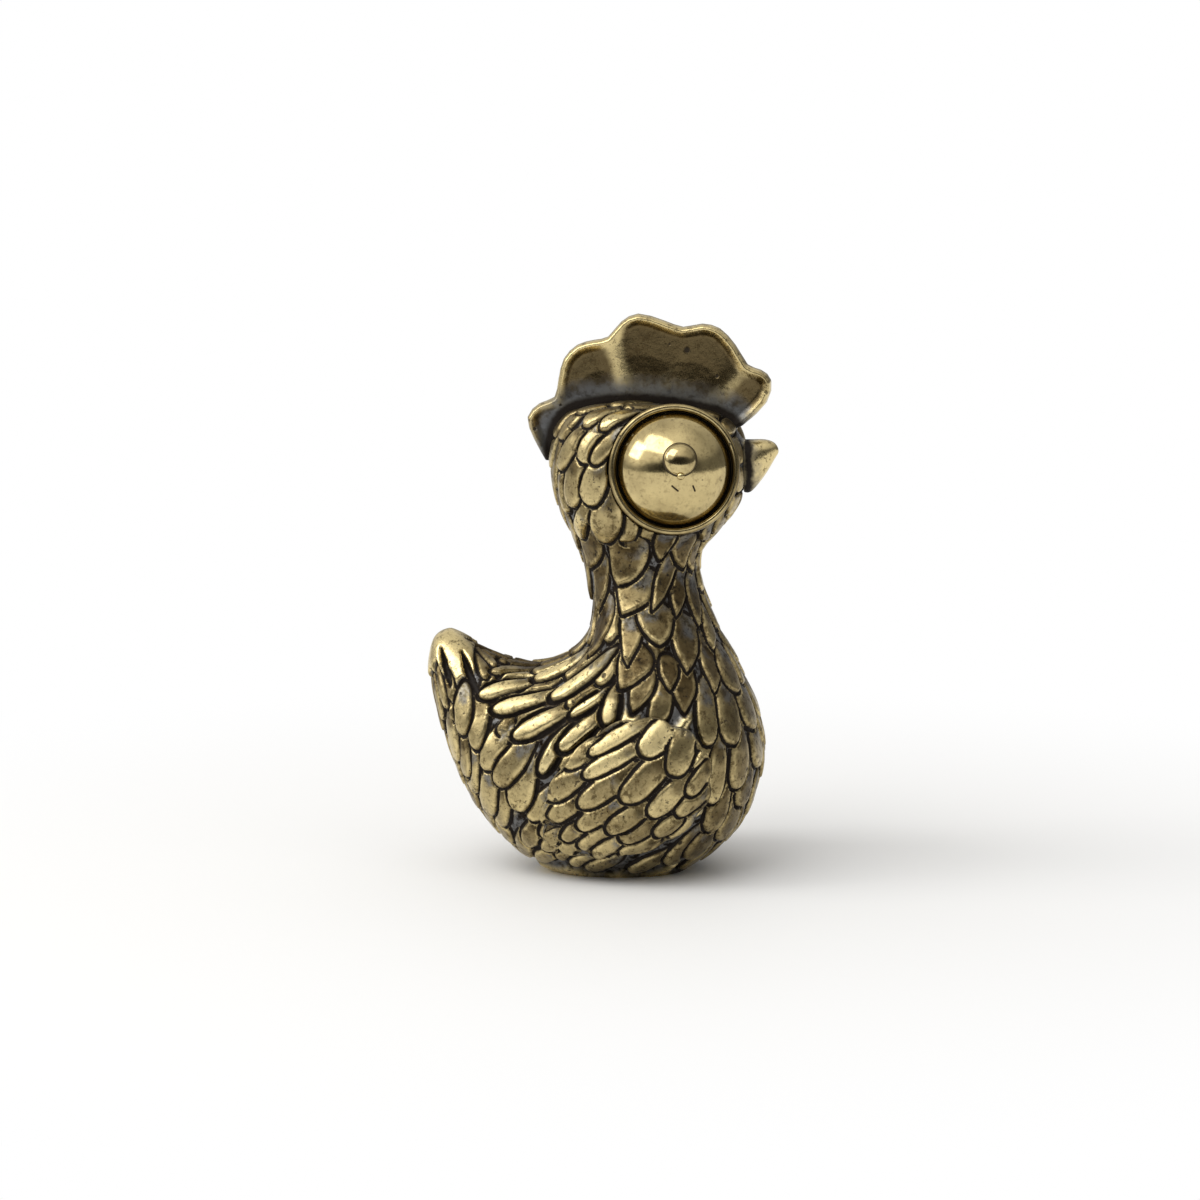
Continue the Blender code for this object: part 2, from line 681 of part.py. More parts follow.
def wing_mesh(skin, side):
    """The plate, lying along the flank, with rows of feathers on its front and a plain ring at each end."""
    bm = bmesh.new()
    front_vert = partial(wing_front_vert, bm, skin, side)
    columns = 2 * WING_FEATHERS_ACROSS + 1
    grooves = groove_rows(WING_FEATHER_ROWS, columns, front_vert)
    for row, (lower, upper) in enumerate(zip(grooves, grooves[1:])):
        for k in range(row % 2, columns, 2):
            if k in (0, columns - 1):
                beside = 1 if k == 0 else k - 1
                bm.faces.new([lower[k], lower[beside], upper[beside], upper[k]])
            else:
                add_feather(bm, feather_outline(lower, upper, k), row, k, front_vert)

    def back(along):
        steps = [1 - 2 * k / WING_BACK_FACETS for k in range(WING_BACK_FACETS + 1)]
        return [wing_back_vert(bm, skin, side, along, across) for across in steps]

    def end_ring(along):
        row = (along - WING_FIRST_ROW) / WING_ROW_PITCH
        return [front_vert(row, k, 0.0) for k in range(columns)] + back(along)

    rings = []
    for row, groove in enumerate(grooves):
        edge_row = row + (FEATHER_POINT if row % 2 else 0.0)
        rings.append(groove + back(WING_FIRST_ROW + WING_ROW_PITCH * edge_row))
    for a, b in zip(rings, rings[1:]):
        a, b = [ring[columns - 1 :] + ring[:1] for ring in (a, b)]
        for k in range(len(a) - 1):
            bm.faces.new([a[k], a[k + 1], b[k + 1], b[k]])
    near, far = WING_END_RINGS
    rear = [end_ring(-far), end_ring(-near), rings[0]]
    shoulder = [rings[-1], end_ring(near), end_ring(far)]
    join_rings(bm, rear)
    join_rings(bm, shoulder)
    bm.faces.new(rear[0])
    bm.faces.new(shoulder[-1])
    bmesh.ops.recalc_face_normals(bm, faces=bm.faces)
    return bm


def add_eye(skin, body, name, side):
    """One eye: its socket in the head, the rim, the dome and the pupil."""
    frame = eye_frame(skin, side)
    radius = eye_rim_radius() + CLEARANCE
    floor = -EYE_SEAT_DEPTH - CLEARANCE
    mouth = EYE_DOME_HEIGHT
    bore = turned([(0, floor), (radius, floor), (radius, mouth), (0, mouth)], EYE_FACETS)
    combine(body, add_piece(f"{name}_eye_socket", bore, matrix=frame), "DIFFERENCE")
    add_piece(f"{name}_eye_rim", turned(eye_rim_profile(), EYE_FACETS, ring=True), "eye_brass", frame)
    dome = add_piece(f"{name}_eye_dome", turned(eye_dome_profile(), EYE_FACETS), "eye_brass", frame)
    gaze = pupil_frame(frame, side)
    drill = add_piece(f"{name}_pupil_hole", turned(pupil_hole_profile(), PUPIL_FACETS), matrix=gaze)
    combine(dome, drill, "DIFFERENCE")
    add_piece(f"{name}_pupil", turned(pupil_profile(), PUPIL_FACETS), "eye_brass", gaze)


def add_beak(skin, body):
    """The beak, its peg, and the seat and hole for them in the face."""
    inside = place(EYE_AXIS_FORWARD, BEAK_UP)
    face = -skin.ray_cast(inside, place(1, 0))[0].y
    beak = add_piece("beak", beak_mesh(face), "beak_brass")
    root = place(face, BEAK_UP)
    peg_end = place(face - BEAK_SEAT - BEAK_PEG_LENGTH, BEAK_UP)
    hole_end = place(face - BEAK_SEAT - BEAK_PEG_LENGTH - CLEARANCE, BEAK_UP)
    peg = add_piece("beak_peg", peg_mesh(peg_end, root, BEAK_PEG_DIAMETER))
    mouth = place(face + BEAK_LENGTH, BEAK_UP)
    hole = add_piece("beak_hole", peg_mesh(hole_end, mouth, BEAK_PEG_DIAMETER + 2 * CLEARANCE))
    pocket = add_piece("beak_pocket", beak_pocket_mesh(face))
    combine(beak, peg, "UNION")
    combine(body, pocket, "DIFFERENCE")
    combine(body, hole, "DIFFERENCE")


def add_comb(skin, body):
    """The comb and its slot in the crown."""
    add_piece("comb", comb_mesh(skin), "comb_brass")
    combine(body, add_piece("comb_slot", comb_slot_mesh(skin)), "DIFFERENCE")


def add_wing(skin, body, name, side):
    """One wing, its peg, and the hole for the peg in the flank."""
    wing = add_piece(f"{name}_wing", wing_mesh(skin, side), "plumage_brass")
    hit, _ = flank(skin, side, WING_CENTRE_FORWARD, WING_CENTRE_UP)
    outward = Vector((side, 0, 0))
    peg_end = hit - outward * WING_PEG_LENGTH
    hole_end = peg_end - outward * CLEARANCE
    root = hit + outward * (CLEARANCE + wing_thickness(0, 0) / 2)
    peg = add_piece(f"{name}_wing_peg", peg_mesh(peg_end, root, WING_PEG_DIAMETER))
    hole = add_piece(f"{name}_wing_hole", peg_mesh(hole_end, root, WING_PEG_DIAMETER + 2 * CLEARANCE))
    combine(wing, peg, "UNION")
    combine(body, hole, "DIFFERENCE")


def main():
    """All the pieces, carried by one empty at the origin."""
    for old in list(bpy.data.objects):
        bpy.data.objects.remove(old)
    skin = BVHTree.FromBMesh(loft(body_sections(), BODY_STEPS, BODY_FACETS, BODY_FULLNESS))
    casting = plumage_mesh(skin)
    cut_underside(casting)
    body = add_piece("body", casting, "plumage_brass")
    add_comb(skin, body)
    add_beak(skin, body)
    for name, side in SIDES.items():
        add_eye(skin, body, name, side)
        add_wing(skin, body, name, side)
    rooster = bpy.data.objects.new("rooster", None)
    for piece in bpy.data.objects:
        if piece != rooster:
            piece.parent = rooster
    bpy.context.scene.collection.objects.link(rooster)


main()
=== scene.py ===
"""Looks of a small brass rooster figurine: aged cast brass with feathers in relief, on a pale studio floor.

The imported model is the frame. Each piece below stands for one of its nodes and stays where that node is.
Lengths are in metres, +Z is up and the rooster faces -Y. The picture is the side view, 1200 pixels square.
"""

import math
import random
from collections import namedtuple

import bmesh
import bpy
import numpy as np
from bpy.props import FloatProperty, FloatVectorProperty, IntProperty, PointerProperty
from mathutils import Matrix, Vector
from mathutils.bvhtree import BVHTree


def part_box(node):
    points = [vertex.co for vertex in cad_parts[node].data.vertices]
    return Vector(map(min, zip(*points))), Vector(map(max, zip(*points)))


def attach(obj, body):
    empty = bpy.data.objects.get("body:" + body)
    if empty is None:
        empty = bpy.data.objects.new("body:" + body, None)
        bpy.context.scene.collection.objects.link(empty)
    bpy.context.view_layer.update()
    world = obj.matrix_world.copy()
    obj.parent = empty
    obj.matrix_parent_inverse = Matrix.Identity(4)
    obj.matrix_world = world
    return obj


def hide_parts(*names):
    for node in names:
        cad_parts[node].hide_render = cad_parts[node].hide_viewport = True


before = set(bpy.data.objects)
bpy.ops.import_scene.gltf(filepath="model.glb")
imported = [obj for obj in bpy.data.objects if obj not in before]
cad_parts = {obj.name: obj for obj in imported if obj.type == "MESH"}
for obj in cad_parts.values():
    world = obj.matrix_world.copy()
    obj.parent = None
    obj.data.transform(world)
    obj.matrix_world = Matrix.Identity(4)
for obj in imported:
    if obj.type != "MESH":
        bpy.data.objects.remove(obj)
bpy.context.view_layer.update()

bl_info = {
    "name": "Brass Rooster Figurine",
    "version": (1, 0, 0),
    "blender": (4, 5, 0),
    "location": "3D View > Sidebar > Rooster",
    "description": "Makes the finished pieces of a brass rooster figurine around its solid model",
    "category": "Add Mesh",
}

MM = 0.001
SIDES = {"right": -1, "left": 1}

# The picture's frame in pixels, and where the figure's middle shows in it
PICTURE_SIDE = 1200
PICTURE_MIDDLE = (603.5, 592.0)

# Body casting, in millimetres on the middle plane: point on the back, point on the belly, half width
BODY_SECTIONS = (
    ((-10.7, 16.4), (-10.7, 16.4), 0.0),
    ((-10.0, 16.2), (-11.6, 15.9), 1.2),
    ((-9.1, 15.7), (-12.0, 14.8), 2.2),
    ((-7.8, 14.9), (-12.1, 13.2), 3.2),
    ((-6.3, 14.4), (-11.6, 11.0), 4.2),
    ((-4.9, 14.2), (-10.5, 7.6), 5.4),
    ((-3.7, 14.4), (-8.4, 3.7), 6.8),
    ((-2.6, 14.9), (-4.6, 0.3), 7.9),
    ((-1.8, 15.5), (0.3, -0.9), 8.6),
    ((-1.3, 16.2), (5.6, -0.1), 8.8),
    ((-1.0, 16.9), (9.4, 2.8), 8.6),
    ((-0.9, 17.7), (11.1, 7.0), 8.2),
    ((-0.9, 18.5), (10.9, 10.5), 7.3),
    ((-1.1, 19.4), (9.6, 13.8), 6.2),
    ((-1.3, 20.4), (8.0, 16.9), 5.2),
    ((-1.7, 21.7), (6.9, 19.8), 4.5),
    ((-2.3, 23.2), (6.9, 21.9), 5.0),
    ((-3.1, 24.8), (8.3, 23.6), 6.0),
    ((-3.7, 27.1), (9.8, 25.8), 6.4),
    ((-3.7, 29.2), (10.1, 28.1), 6.4),
    ((-3.1, 30.9), (9.5, 30.2), 6.0),
    ((-1.5, 32.0), (7.8, 31.6), 4.8),
    ((2.8, 32.4), (2.8, 32.4), 0.0),
)
BODY_FULLNESS = 2.2

# A feather's outline is a groove of this half width, which narrow feathers get finer
GROOVE = 0.19 * MM
FULL_GROOVE_WIDTH = 1.1 * MM
LEAF_ASPECT = 0.45

# Leaf outlines: the powers of the way from the root and of the way from the tip
ALMOND = (0.6, 0.42)
LAPPET = (0.45, 0.85)

# A leaf's rings from the outside in: inset from the outline in groove half widths, share of the outline,
# and share of the swell; and what its middle vertex keeps
LEAF_RINGS = ((-1.0, 1.0, 0.0), (0.0, 1.0, 0.0), (1.0, 1.0, 0.25), (2.0, 0.5, 0.85))
LEAF_MIDDLE = {"inset": 0.0, "edge": 3.0, "crown": 1.0, "run": 0.5}

# Feathers hover over the skin as a pattern, and slope so that tips lie over the roots behind them
HOVER = 0.6 * MM
HOVER_SLOPE = 0.15
HOVER_REACH = 1.7 * MM
DRAWN_RAISE = 0.35 * MM
FILLED_RAISE = -0.05 * MM

# How far feathers of one group differ in height and in tone, and how the carved lines stray
RAISE_STRAY = 0.06 * MM
TONE_STRAY = 0.22
WOBBLE_SCALE = 700.0
WOBBLE_GAIN = 4.0

# Feathers that fill the gaps: least and most length and width, how many neighbours they follow, and the
# distance below which those count alike
FILL_SPAN_LOW = (2.2 * MM, 0.95 * MM)
FILL_SPAN_HIGH = (3.4 * MM, 1.7 * MM)
FILL_NEIGHBOURS = 4
FILL_EVEN = 0.3 * MM

# How near two of them may come (1 is side by side, and the power rounds the corners), how far off one still
# matters, and the depth through the casting that keeps two apart
FILL_CROWDING = 0.72
FILL_POWER = 1.6
FILL_REACH = 6 * MM
FILL_DEPTH = 2 * MM

# Rounds of smoothing that take the saw teeth off the carved edges
SOFTENING = 2

# Places left plain: below this height, behind and above this point of the tail, round the eyes, beside the
# comb and round the beak; and how much of the sink plain skin is spared
BASE_BAND = 0.9 * MM
TAIL_CAP = (8.5 * MM, 12.7 * MM)
TAIL_CAP_BLEND = 0.1 * MM
EYE_MARGIN = 0.4 * MM
COMB_MARGIN = 0.5 * MM
BEAK_MARGIN = 0.7 * MM
PLAIN_SPARED = 0.8

# The underside isn't carved below this height
FLAT_BAND = 0.05 * MM

# Plates carved on one face only: how squarely a face looks outwards, and the dirt on their edges
FACE_STEP = (0.3, 0.65)
EDGE_SOIL = 0.2

# Distance from the nearest feather over which a recess turns into plain skin, and what is added to the
# distance from an outline, in groove half widths, where there is no feather
PLAIN_STEP = (0.7 * MM, 1.1 * MM)
NO_FEATHER = 3.0

# The hollow of the back between tail and neck, darkened as painted shade: its sections, and how wide it is
SADDLE = slice(3, 13)
SADDLE_CORE = 0.9 * MM
SADDLE_REACH = 2.7 * MM

# The casting is made as pieces, parted at the neck and along the middle
NECK_PARTING = 17.5 * MM

# Wings: egg-shaped plates on the flanks, thick at the shoulder and thin behind, with a gap under them
WING_CENTRE = (2.0 * MM, 6.6 * MM)
WING_LENGTH = 12.4 * MM
WING_DEPTH = 8.6 * MM
WING_SLOPE = math.radians(32.0)
WING_TAPER = 0.18
WING_REAR = 0.45 * MM
WING_SHOULDER = 1.1 * MM
WING_EDGE = 0.25 * MM
WING_GAP = 0.15 * MM
WING_RELIEF = 0.65
WING_BULGE = (2.5, 0.8)
WING_LOBES = 13
WING_SCALLOP = 0.05

# Dirt on a turned piece, from clean to black
CLEAN = 0.0
BLACK = 1.0

# Eye rims: the bead, its arcs from the outside in with start and end in degrees and dirt, the dirt on the
# outer wall below and above, and on the lip inside the bead, and the gap round the dome
RIM_BEAD = 0.24 * MM
RIM_ARCS = ((0, 50, 0.3), (60, 110, 0.22), (120, 170, 0.3))
RIM_ARC_STEPS = 6
RIM_WALL = (0.5, 0.22)
RIM_LIP = 0.9
RIM_GAP = 0.06 * MM
RIM_FACETS = 160

# Eye domes: the straight wall under the ball's edge, and how finely they are turned
DOME_WALL = 0.05 * MM
DOME_STEPS = 96
DOME_TOP = 89.9
DOME_FACETS = 240

# Pupils: how far they stand out, the pin's share of the radius and where it ends, the button's edge, its lip
# as share of the radius and height, its crown, and the small bead under it
PUPIL_RISE = 0.5 * MM
PUPIL_PIN = 0.4
PUPIL_PIN_TOP = 0.4 * MM
PUPIL_EDGE = 0.35 * MM
PUPIL_EDGE_SOIL = 0.7
PUPIL_LIP = (0.93, 0.03 * MM)
PUPIL_LIP_SOIL = 0.6
PUPIL_CROWN = 0.9
PUPIL_STEPS = 16
PUPIL_FACETS = 72
PUPIL_BEAD = 0.26 * MM
PUPIL_BEAD_DROP = 0.98
PUPIL_BEAD_LIFT = 0.06 * MM

# Two short nicks under the pupil, by their ends in pixels
EYE_NICKS = (((672, 486), (678, 491)), ((693, 486), (695, 491)))
NICK_WIDTH = 0.05 * MM

# Comb: the middle that its lobes spread from, forward and up, and the sweep in degrees and count of the rays
# that trace it
COMB_MIDDLE = (3.0 * MM, 27.5 * MM)
COMB_SWEEP = (10.0, 190.0)
COMB_COLUMNS = 300
COMB_ROWS = 60
COMB_ROW_POWER = 0.8
COMB_BEYOND = 0.05

# Comb relief: the ridges between its lobes by angle and strength, the round rim and its level share, the
# slope inside it, how deep the hollows are, and how they fade towards the root
COMB_RIDGES = {46.0: 0.7, 76.0: 0.3, 105.0: 1.0, 142.5: 1.0}
COMB_RIDGE_SPREAD = 6.0
COMB_RIDGE_FILL = 0.8
COMB_RIM = 0.3 * MM
COMB_RIM_LEVEL = 0.6
COMB_FALL = 0.7 * MM
COMB_HOLLOW = 0.42
COMB_ROOT_START = 0.2
COMB_ROOT_SPAN = 0.4
COMB_ROOT_SHARE = 0.3

# Casting pits in the comb: pixel, and radius
COMB_PITS = (((687, 350), 0.22 * MM), ((717, 376), 0.14 * MM), ((535, 429), 0.12 * MM))

# Corners nearer than this are one, on a node's mesh and at the comb's edge; and the beak's rounds of refining
NODE_MERGE = 0.001 * MM
COMB_MERGE = 0.002 * MM
BEAK_LEVELS = 2

# Grain in the brass: marks to the metre, octaves, and the strength of the finer ones
CLOUDS = (520.0, 5.0, 0.7)
STAINS = (1600.0, 6.0, 0.8)
STIPPLE = (1900.0, 4.0, 0.65)
SAND = (4200.0, 3.0, 0.7)
SPECKS = (2500.0, 3.0, 0.65)
SPECK_PATCHES = (420.0, 2.0)
OLD_SKIN = (300.0, 2.0)
FINE_BUMPS = (2600.0, 4.0)
BROAD_BUMPS = (700.0, 2.0)
COMB_STIPPLE = (1500.0, 5.0, 0.65)
BEAK_STIPPLE = (1500.0, 5.0)
BROAD_TONE = (150.0,)
EYE_CLOUDS = (500.0, 4.0)
EYE_GRAIN = (2800.0, 4.0, 0.7)
EYE_STAINS = (1700.0, 5.0, 0.75)
EYE_BUMPS = (900.0, 2.0)

# Small round casting pits: pits to the metre, their size, and the patches that they come in with their step
PLUMAGE_PITS = (700.0, 0.16, 260.0, (0.52, 0.62))
COMB_SPECKLE = (900.0, 0.15, 180.0, (0.52, 0.62))
EYE_PITS = (1100.0, 0.14, 300.0, (0.5, 0.58))

# Soft steps: where a finish starts to show and where it shows in full
CLOUD_STEP = (0.5, 0.9)
STAIN_STEP = (0.53, 0.63)
# Tones that mix in the brightest brass as a painted highlight
HIGHLIGHT_STEP = (-0.3, 0.35)
SATIN_STEP = (-0.25, 0.05)
SAND_STEP = (0.48, 0.68)
SPECK_STEP = (0.78, 0.86)
OLD_SKIN_STEP = (0.48, 0.56)
FEATHER_MIDDLE_STEP = (1.3, 2.1)
FEATHER_EDGE_STEP = (0.8, 1.3)
FEATHER_ROOT_STEP = (0.10, 0.38)
HOLLOW_STEP = (0.5, 0.66)
BLACKISH_STEP = (0.44, 0.62)
GROOVE_STEP = (0.06, 0.36)
COMB_PIT_STEP = (0.2, 0.9)
COMB_HOLLOW_STEP = (0.15, 0.7)
COMB_GREY_STEP = (0.5, 1.9)
COMB_SLATE_STEP = (0.42, 0.7)
COMB_BLACK_STEP = (0.15, 0.55)
BEAK_GREY_STEP = (0.3, 0.9)
BEAK_BLACK_STEP = (0.1, 0.45)
EYE_CLOUD_STEP = (0.4, 0.75)
EYE_GRAIN_STEP = (0.48, 0.68)
EYE_STAIN_STEP = (0.56, 0.7)
EYE_DULL_STEP = (0.1, 0.4)
EYE_BLACK_STEP = (0.5, 0.8)

# Heights of the fine unevenness
PLUMAGE_BUMP = 0.045 * MM
COMB_BUMP = 0.06 * MM
BEAK_BUMP = 0.03 * MM
EYE_BUMP = 0.009 * MM

# Patina: how much rougher it is than brass, how much of the metal it hides, and its gloss
PATINA_ROUGH = 0.3
PATINA_COVER = 0.9
PATINA_GLOSS = 0.2

# Lamps: name, place, the sides of the glowing face, and their share of the brightness
LAMPS = (
    ("softbox", (-0.23, 0.20, 0.42), 0.46, 0.26, 0.85),
    ("side", (-0.07, 0.42, 0.27), 0.24, 0.20, 1.1),
)

# Floor: its size and finish, and the distances from the figure over which it goes over into white
FLOOR_RADIUS = 30.0
FLOOR_FACETS = 96
FLOOR_ROUGHNESS = 0.6
FLOOR_FADE = (0.02, 0.08)

# Studio, by direction: from behind the camera to the sides, towards the tail, up to the ceiling, beyond the
# figure and before the breast; how far the ceiling comes down aside; and the light left where it is dimmed
ASIDE_STEP = (-0.95, -0.35)
TAIL_STEP = (0.0, 0.4)
CEILING_STEP = (0.48, 0.68)
FAR_STEP = (-0.25, 0.15)
FRONT_STEP = (-0.9, -0.1)
CEILING_DROP = 0.22
FAR_DIM = 0.75
FRONT_DIM = 0.5
STUDIO_TINT = (1.0, 0.99, 0.97, 1.0)
CAMERA_NEAR = 0.01

# Feathers seen in the picture: root and tip in pixels, and width in pixels
HEAD_FEATHERS = (
    (638, 402, 596, 424, 11),
    (618, 401, 577, 421, 9),
    (600, 421, 578, 462, 19),
    (619, 430, 590, 463, 15),
    (579, 423, 554, 470, 13),
    (571, 462, 568, 508, 18),
    (597, 465, 585, 505, 25),
    (606, 497, 601, 546, 34),
    (583, 508, 573, 541, 12),
    (557, 466, 563, 514, 9),
)
NECK_FEATHERS = (
    (630, 545, 619, 587, 42),
    (640, 575, 622, 613, 40),
    (676, 556, 652, 611, 17),
    (685, 569, 677, 616, 17),
    (696, 576, 700, 625, 14),
    (668, 537, 660, 561, 19),
    (687, 542, 684, 567, 20),
    (697, 548, 694, 571, 9),
    (586, 537, 587, 568, 22),
    (597, 563, 596, 611, 18),
    (604, 605, 588, 656, 17),
    (656, 610, 661, 644, 36),
    (632, 614, 626, 665, 22),
    (640, 650, 618, 688, 36),
    (688, 622, 689, 670, 28),
    (711, 641, 718, 691, 19),
    (670, 660, 671, 689, 17),
    (646, 670, 632, 712, 26),
    (686, 668, 686, 712, 25),
)
BREAST_FEATHERS = (
    (710, 686, 710, 746, 20),
    (729, 683, 736, 744, 21),
    (726, 648, 737, 689, 16),
    (744, 677, 755, 726, 15),
    (725, 745, 714, 806, 17),
    (747, 727, 741, 791, 19),
    (759, 722, 762, 768, 11),
    (729, 783, 713, 835, 20),
    (753, 771, 744, 807, 14),
    (740, 796, 727, 845, 15),
    (754, 808, 728, 846, 13),
    (714, 836, 690, 862, 15),
    (700, 838, 668, 868, 14),
)
CAPE_FEATHERS = (
    (531, 676, 477, 695, 13),
    (549, 691, 491, 710, 14),
    (566, 705, 512, 738, 17),
    (599, 713, 558, 750, 17),
    (609, 688, 569, 715, 9),
    (606, 656, 551, 700, 12),
    (584, 651, 535, 682, 8),
    (560, 733, 539, 775, 14),
    (612, 691, 606, 726, 15),
)
TAIL_FEATHERS = (
    (462, 688, 458, 736, 17),
    (480, 700, 471, 750, 16),
    (502, 724, 480, 771, 20),
    (524, 743, 493, 787, 23),
    (524, 762, 514, 813, 26),
    (445, 715, 454, 762, 10),
    (458, 739, 464, 778, 10),
    (467, 753, 471, 794, 11),
    (484, 775, 486, 817, 15),
    (499, 790, 498, 828, 15),
)
TAIL_SLOTS = (
    (441, 655, 447, 684, 1),
    (465, 658, 475, 688, 2),
)
SHOULDER_FEATHERS = (
    (681, 714, 642, 755, 27),
    (647, 716, 589, 754, 15),
    (638, 746, 582, 777, 16),
)
WING_FEATHERS = (
    (692, 719, 675, 777, 26),
    (672, 756, 622, 803, 26),
    (628, 772, 578, 808, 21),
    (713, 767, 690, 795, 14),
    (686, 784, 651, 818, 20),
    (711, 790, 679, 817, 16),
    (619, 801, 578, 830, 19),
    (646, 810, 607, 834, 18),
    (713, 813, 678, 838, 15),
    (682, 820, 657, 838, 15),
    (658, 823, 622, 844, 16),
    (613, 831, 580, 851, 16),
    (658, 841, 622, 860, 15),
    (681, 838, 644, 862, 15),
    (623, 843, 593, 858, 13),
    (581, 770, 546, 799, 22),
    (574, 803, 549, 821, 18),
    (577, 829, 562, 842, 13),
)
BODY_GROUPS = {
    "head": HEAD_FEATHERS,
    "neck": NECK_FEATHERS,
    "breast": BREAST_FEATHERS,
    "cape": CAPE_FEATHERS,
    "tail": TAIL_FEATHERS,
    "slots": TAIL_SLOTS,
}
WING_GROUPS = {"wing": WING_FEATHERS, "shoulder": SHOULDER_FEATHERS}

# How a group of feathers is made: how far the middle swells and the tip lifts, how high they lie over others,
# how dark they are (1 is dark; the lowest, on shoulder and cape, lighten as a painted highlight), how wide
# their grooves are, and whether they are raised (1) or slots (0)
Manner = namedtuple("Manner", "swell tilt hover tone groove raised")
MANNERS = {
    "head": Manner(0.11 * MM, 0.06, DRAWN_RAISE, 0.27, 1.0, 1.0),
    "neck": Manner(-0.05 * MM, 0.09, DRAWN_RAISE, 0.95, 1.0, 1.0),
    "breast": Manner(0.08 * MM, 0.07, DRAWN_RAISE, 0.75, 1.0, 1.0),
    "cape": Manner(0.13 * MM, 0.05, DRAWN_RAISE, -0.1, 1.5, 1.0),
    "tail": Manner(0.08 * MM, 0.06, DRAWN_RAISE, 0.4, 1.0, 1.0),
    "slots": Manner(0.0, 0.0, 2 * DRAWN_RAISE, 0.0, 0.5, 0.0),
    "filling": Manner(0.07 * MM, 0.06, FILLED_RAISE, 0.55, 1.0, 1.0),
    "wing": Manner(0.12 * MM, 0.05, DRAWN_RAISE, 0.35, 1.0, 1.0),
    "shoulder": Manner(0.14 * MM, 0.06, DRAWN_RAISE, -0.35, 1.0, 1.0),
    "wing_filling": Manner(0.10 * MM, 0.05, FILLED_RAISE, 0.5, 1.0, 1.0),
}
Feather = namedtuple("Feather", "centre along out length width")


def length_setting(name, description, default):
    return FloatProperty(name=name, description=description, default=default, unit="LENGTH")


def angle_setting(name, description, degrees):
    return FloatProperty(name=name, description=description, default=math.radians(degrees), subtype="ANGLE")


def light_setting(name, description, default):
    return FloatProperty(name=name, description=description, default=default)


def colour_setting(name, description, default):
    return FloatVectorProperty(name=name, description=description, default=default, subtype="COLOR", size=3)


class RoosterSizes(bpy.types.PropertyGroup):
    """Sizes of the carved detail."""

    relief: length_setting("Relief", "Depth of the grooves around the feathers", 0.42 * MM)
    recess: length_setting("Recess", "Depth of the open places between feathers", 0.22 * MM)
    sink: length_setting("Sink", "How far feathers lie under the plain skin", 0.16 * MM)
    wobble: length_setting("Wobble", "How far carved lines stray from true", 0.07 * MM)
    voxel: length_setting("Casting step", "Size of the casting's facets", 0.098 * MM)
    seed: IntProperty(name="Seed", description="Picks the set of hand-made irregularities", default=7)


class RoosterColours(bpy.types.PropertyGroup):
    """Colours of the brass and of what lies in its grooves."""

    brass: colour_setting("Brass", "Rubbed metal", (0.64, 0.515, 0.255))
    # The brightest brass, mixed in by low tones: a painted highlight on the shoulder and cape feathers
    highlight_brass: colour_setting("Polished", "Metal rubbed brightest", (0.85, 0.70, 0.36))
    deep_brass: colour_setting("Deep brass", "Browner metal", (0.27, 0.205, 0.095))
    patina: colour_setting("Patina", "Black-brown in the grooves", (0.012, 0.008, 0.005))
    brown: colour_setting("Brown", "Brown stains and panels", (0.085, 0.058, 0.025))
    slate: colour_setting("Slate", "Blue-grey on old skin", (0.15, 0.155, 0.16))
    bare: colour_setting("Bare", "Grey cast skin that was not rubbed", (0.16, 0.158, 0.155))


class RoosterStage(bpy.types.PropertyGroup):
    """Camera, light and floor."""

    azimuth: angle_setting("Azimuth", "Turn of the camera", -85)
    elevation: angle_setting("Elevation", "Height of the camera", 8)
    distance: length_setting("Distance", "From the camera to the figure", 0.3)
    middle: length_setting("Middle", "Height of the figure's middle", 19 * MM)
    pixel: length_setting("Pixel", "Size of the picture's pixel at the figure", 0.0684 * MM)
    floor: colour_setting("Floor", "Colour of the floor", (0.92, 0.92, 0.915))
    zenith: light_setting("Zenith", "Light from above", 1.05)
    horizon: light_setting("Horizon", "Light from the sides", 0.34)
    dusk: light_setting("Dusk", "Light from behind the camera", 0.03)
    lamps: light_setting("Lamps", "Brightness of the lamps' faces", 3.0)


def sizes():
    return bpy.context.scene.rooster_sizes


def colours():
    return bpy.context.scene.rooster_colours


def stage():
    return bpy.context.scene.rooster_stage


class Value:
    """A socket whose number varies; arithmetic on it adds Math nodes."""

    def __init__(self, maker, socket):
        self.maker = maker
        self.socket = socket

    def __add__(self, other):
        return self.maker.math("ADD", self, other)

    def __radd__(self, other):
        return self.maker.math("ADD", other, self)

    def __sub__(self, other):
        return self.maker.math("SUBTRACT", self, other)

    def __rsub__(self, other):
        return self.maker.math("SUBTRACT", other, self)

    def __mul__(self, other):
        return self.maker.math("MULTIPLY", self, other)

    def __rmul__(self, other):
        return self.maker.math("MULTIPLY", other, self)


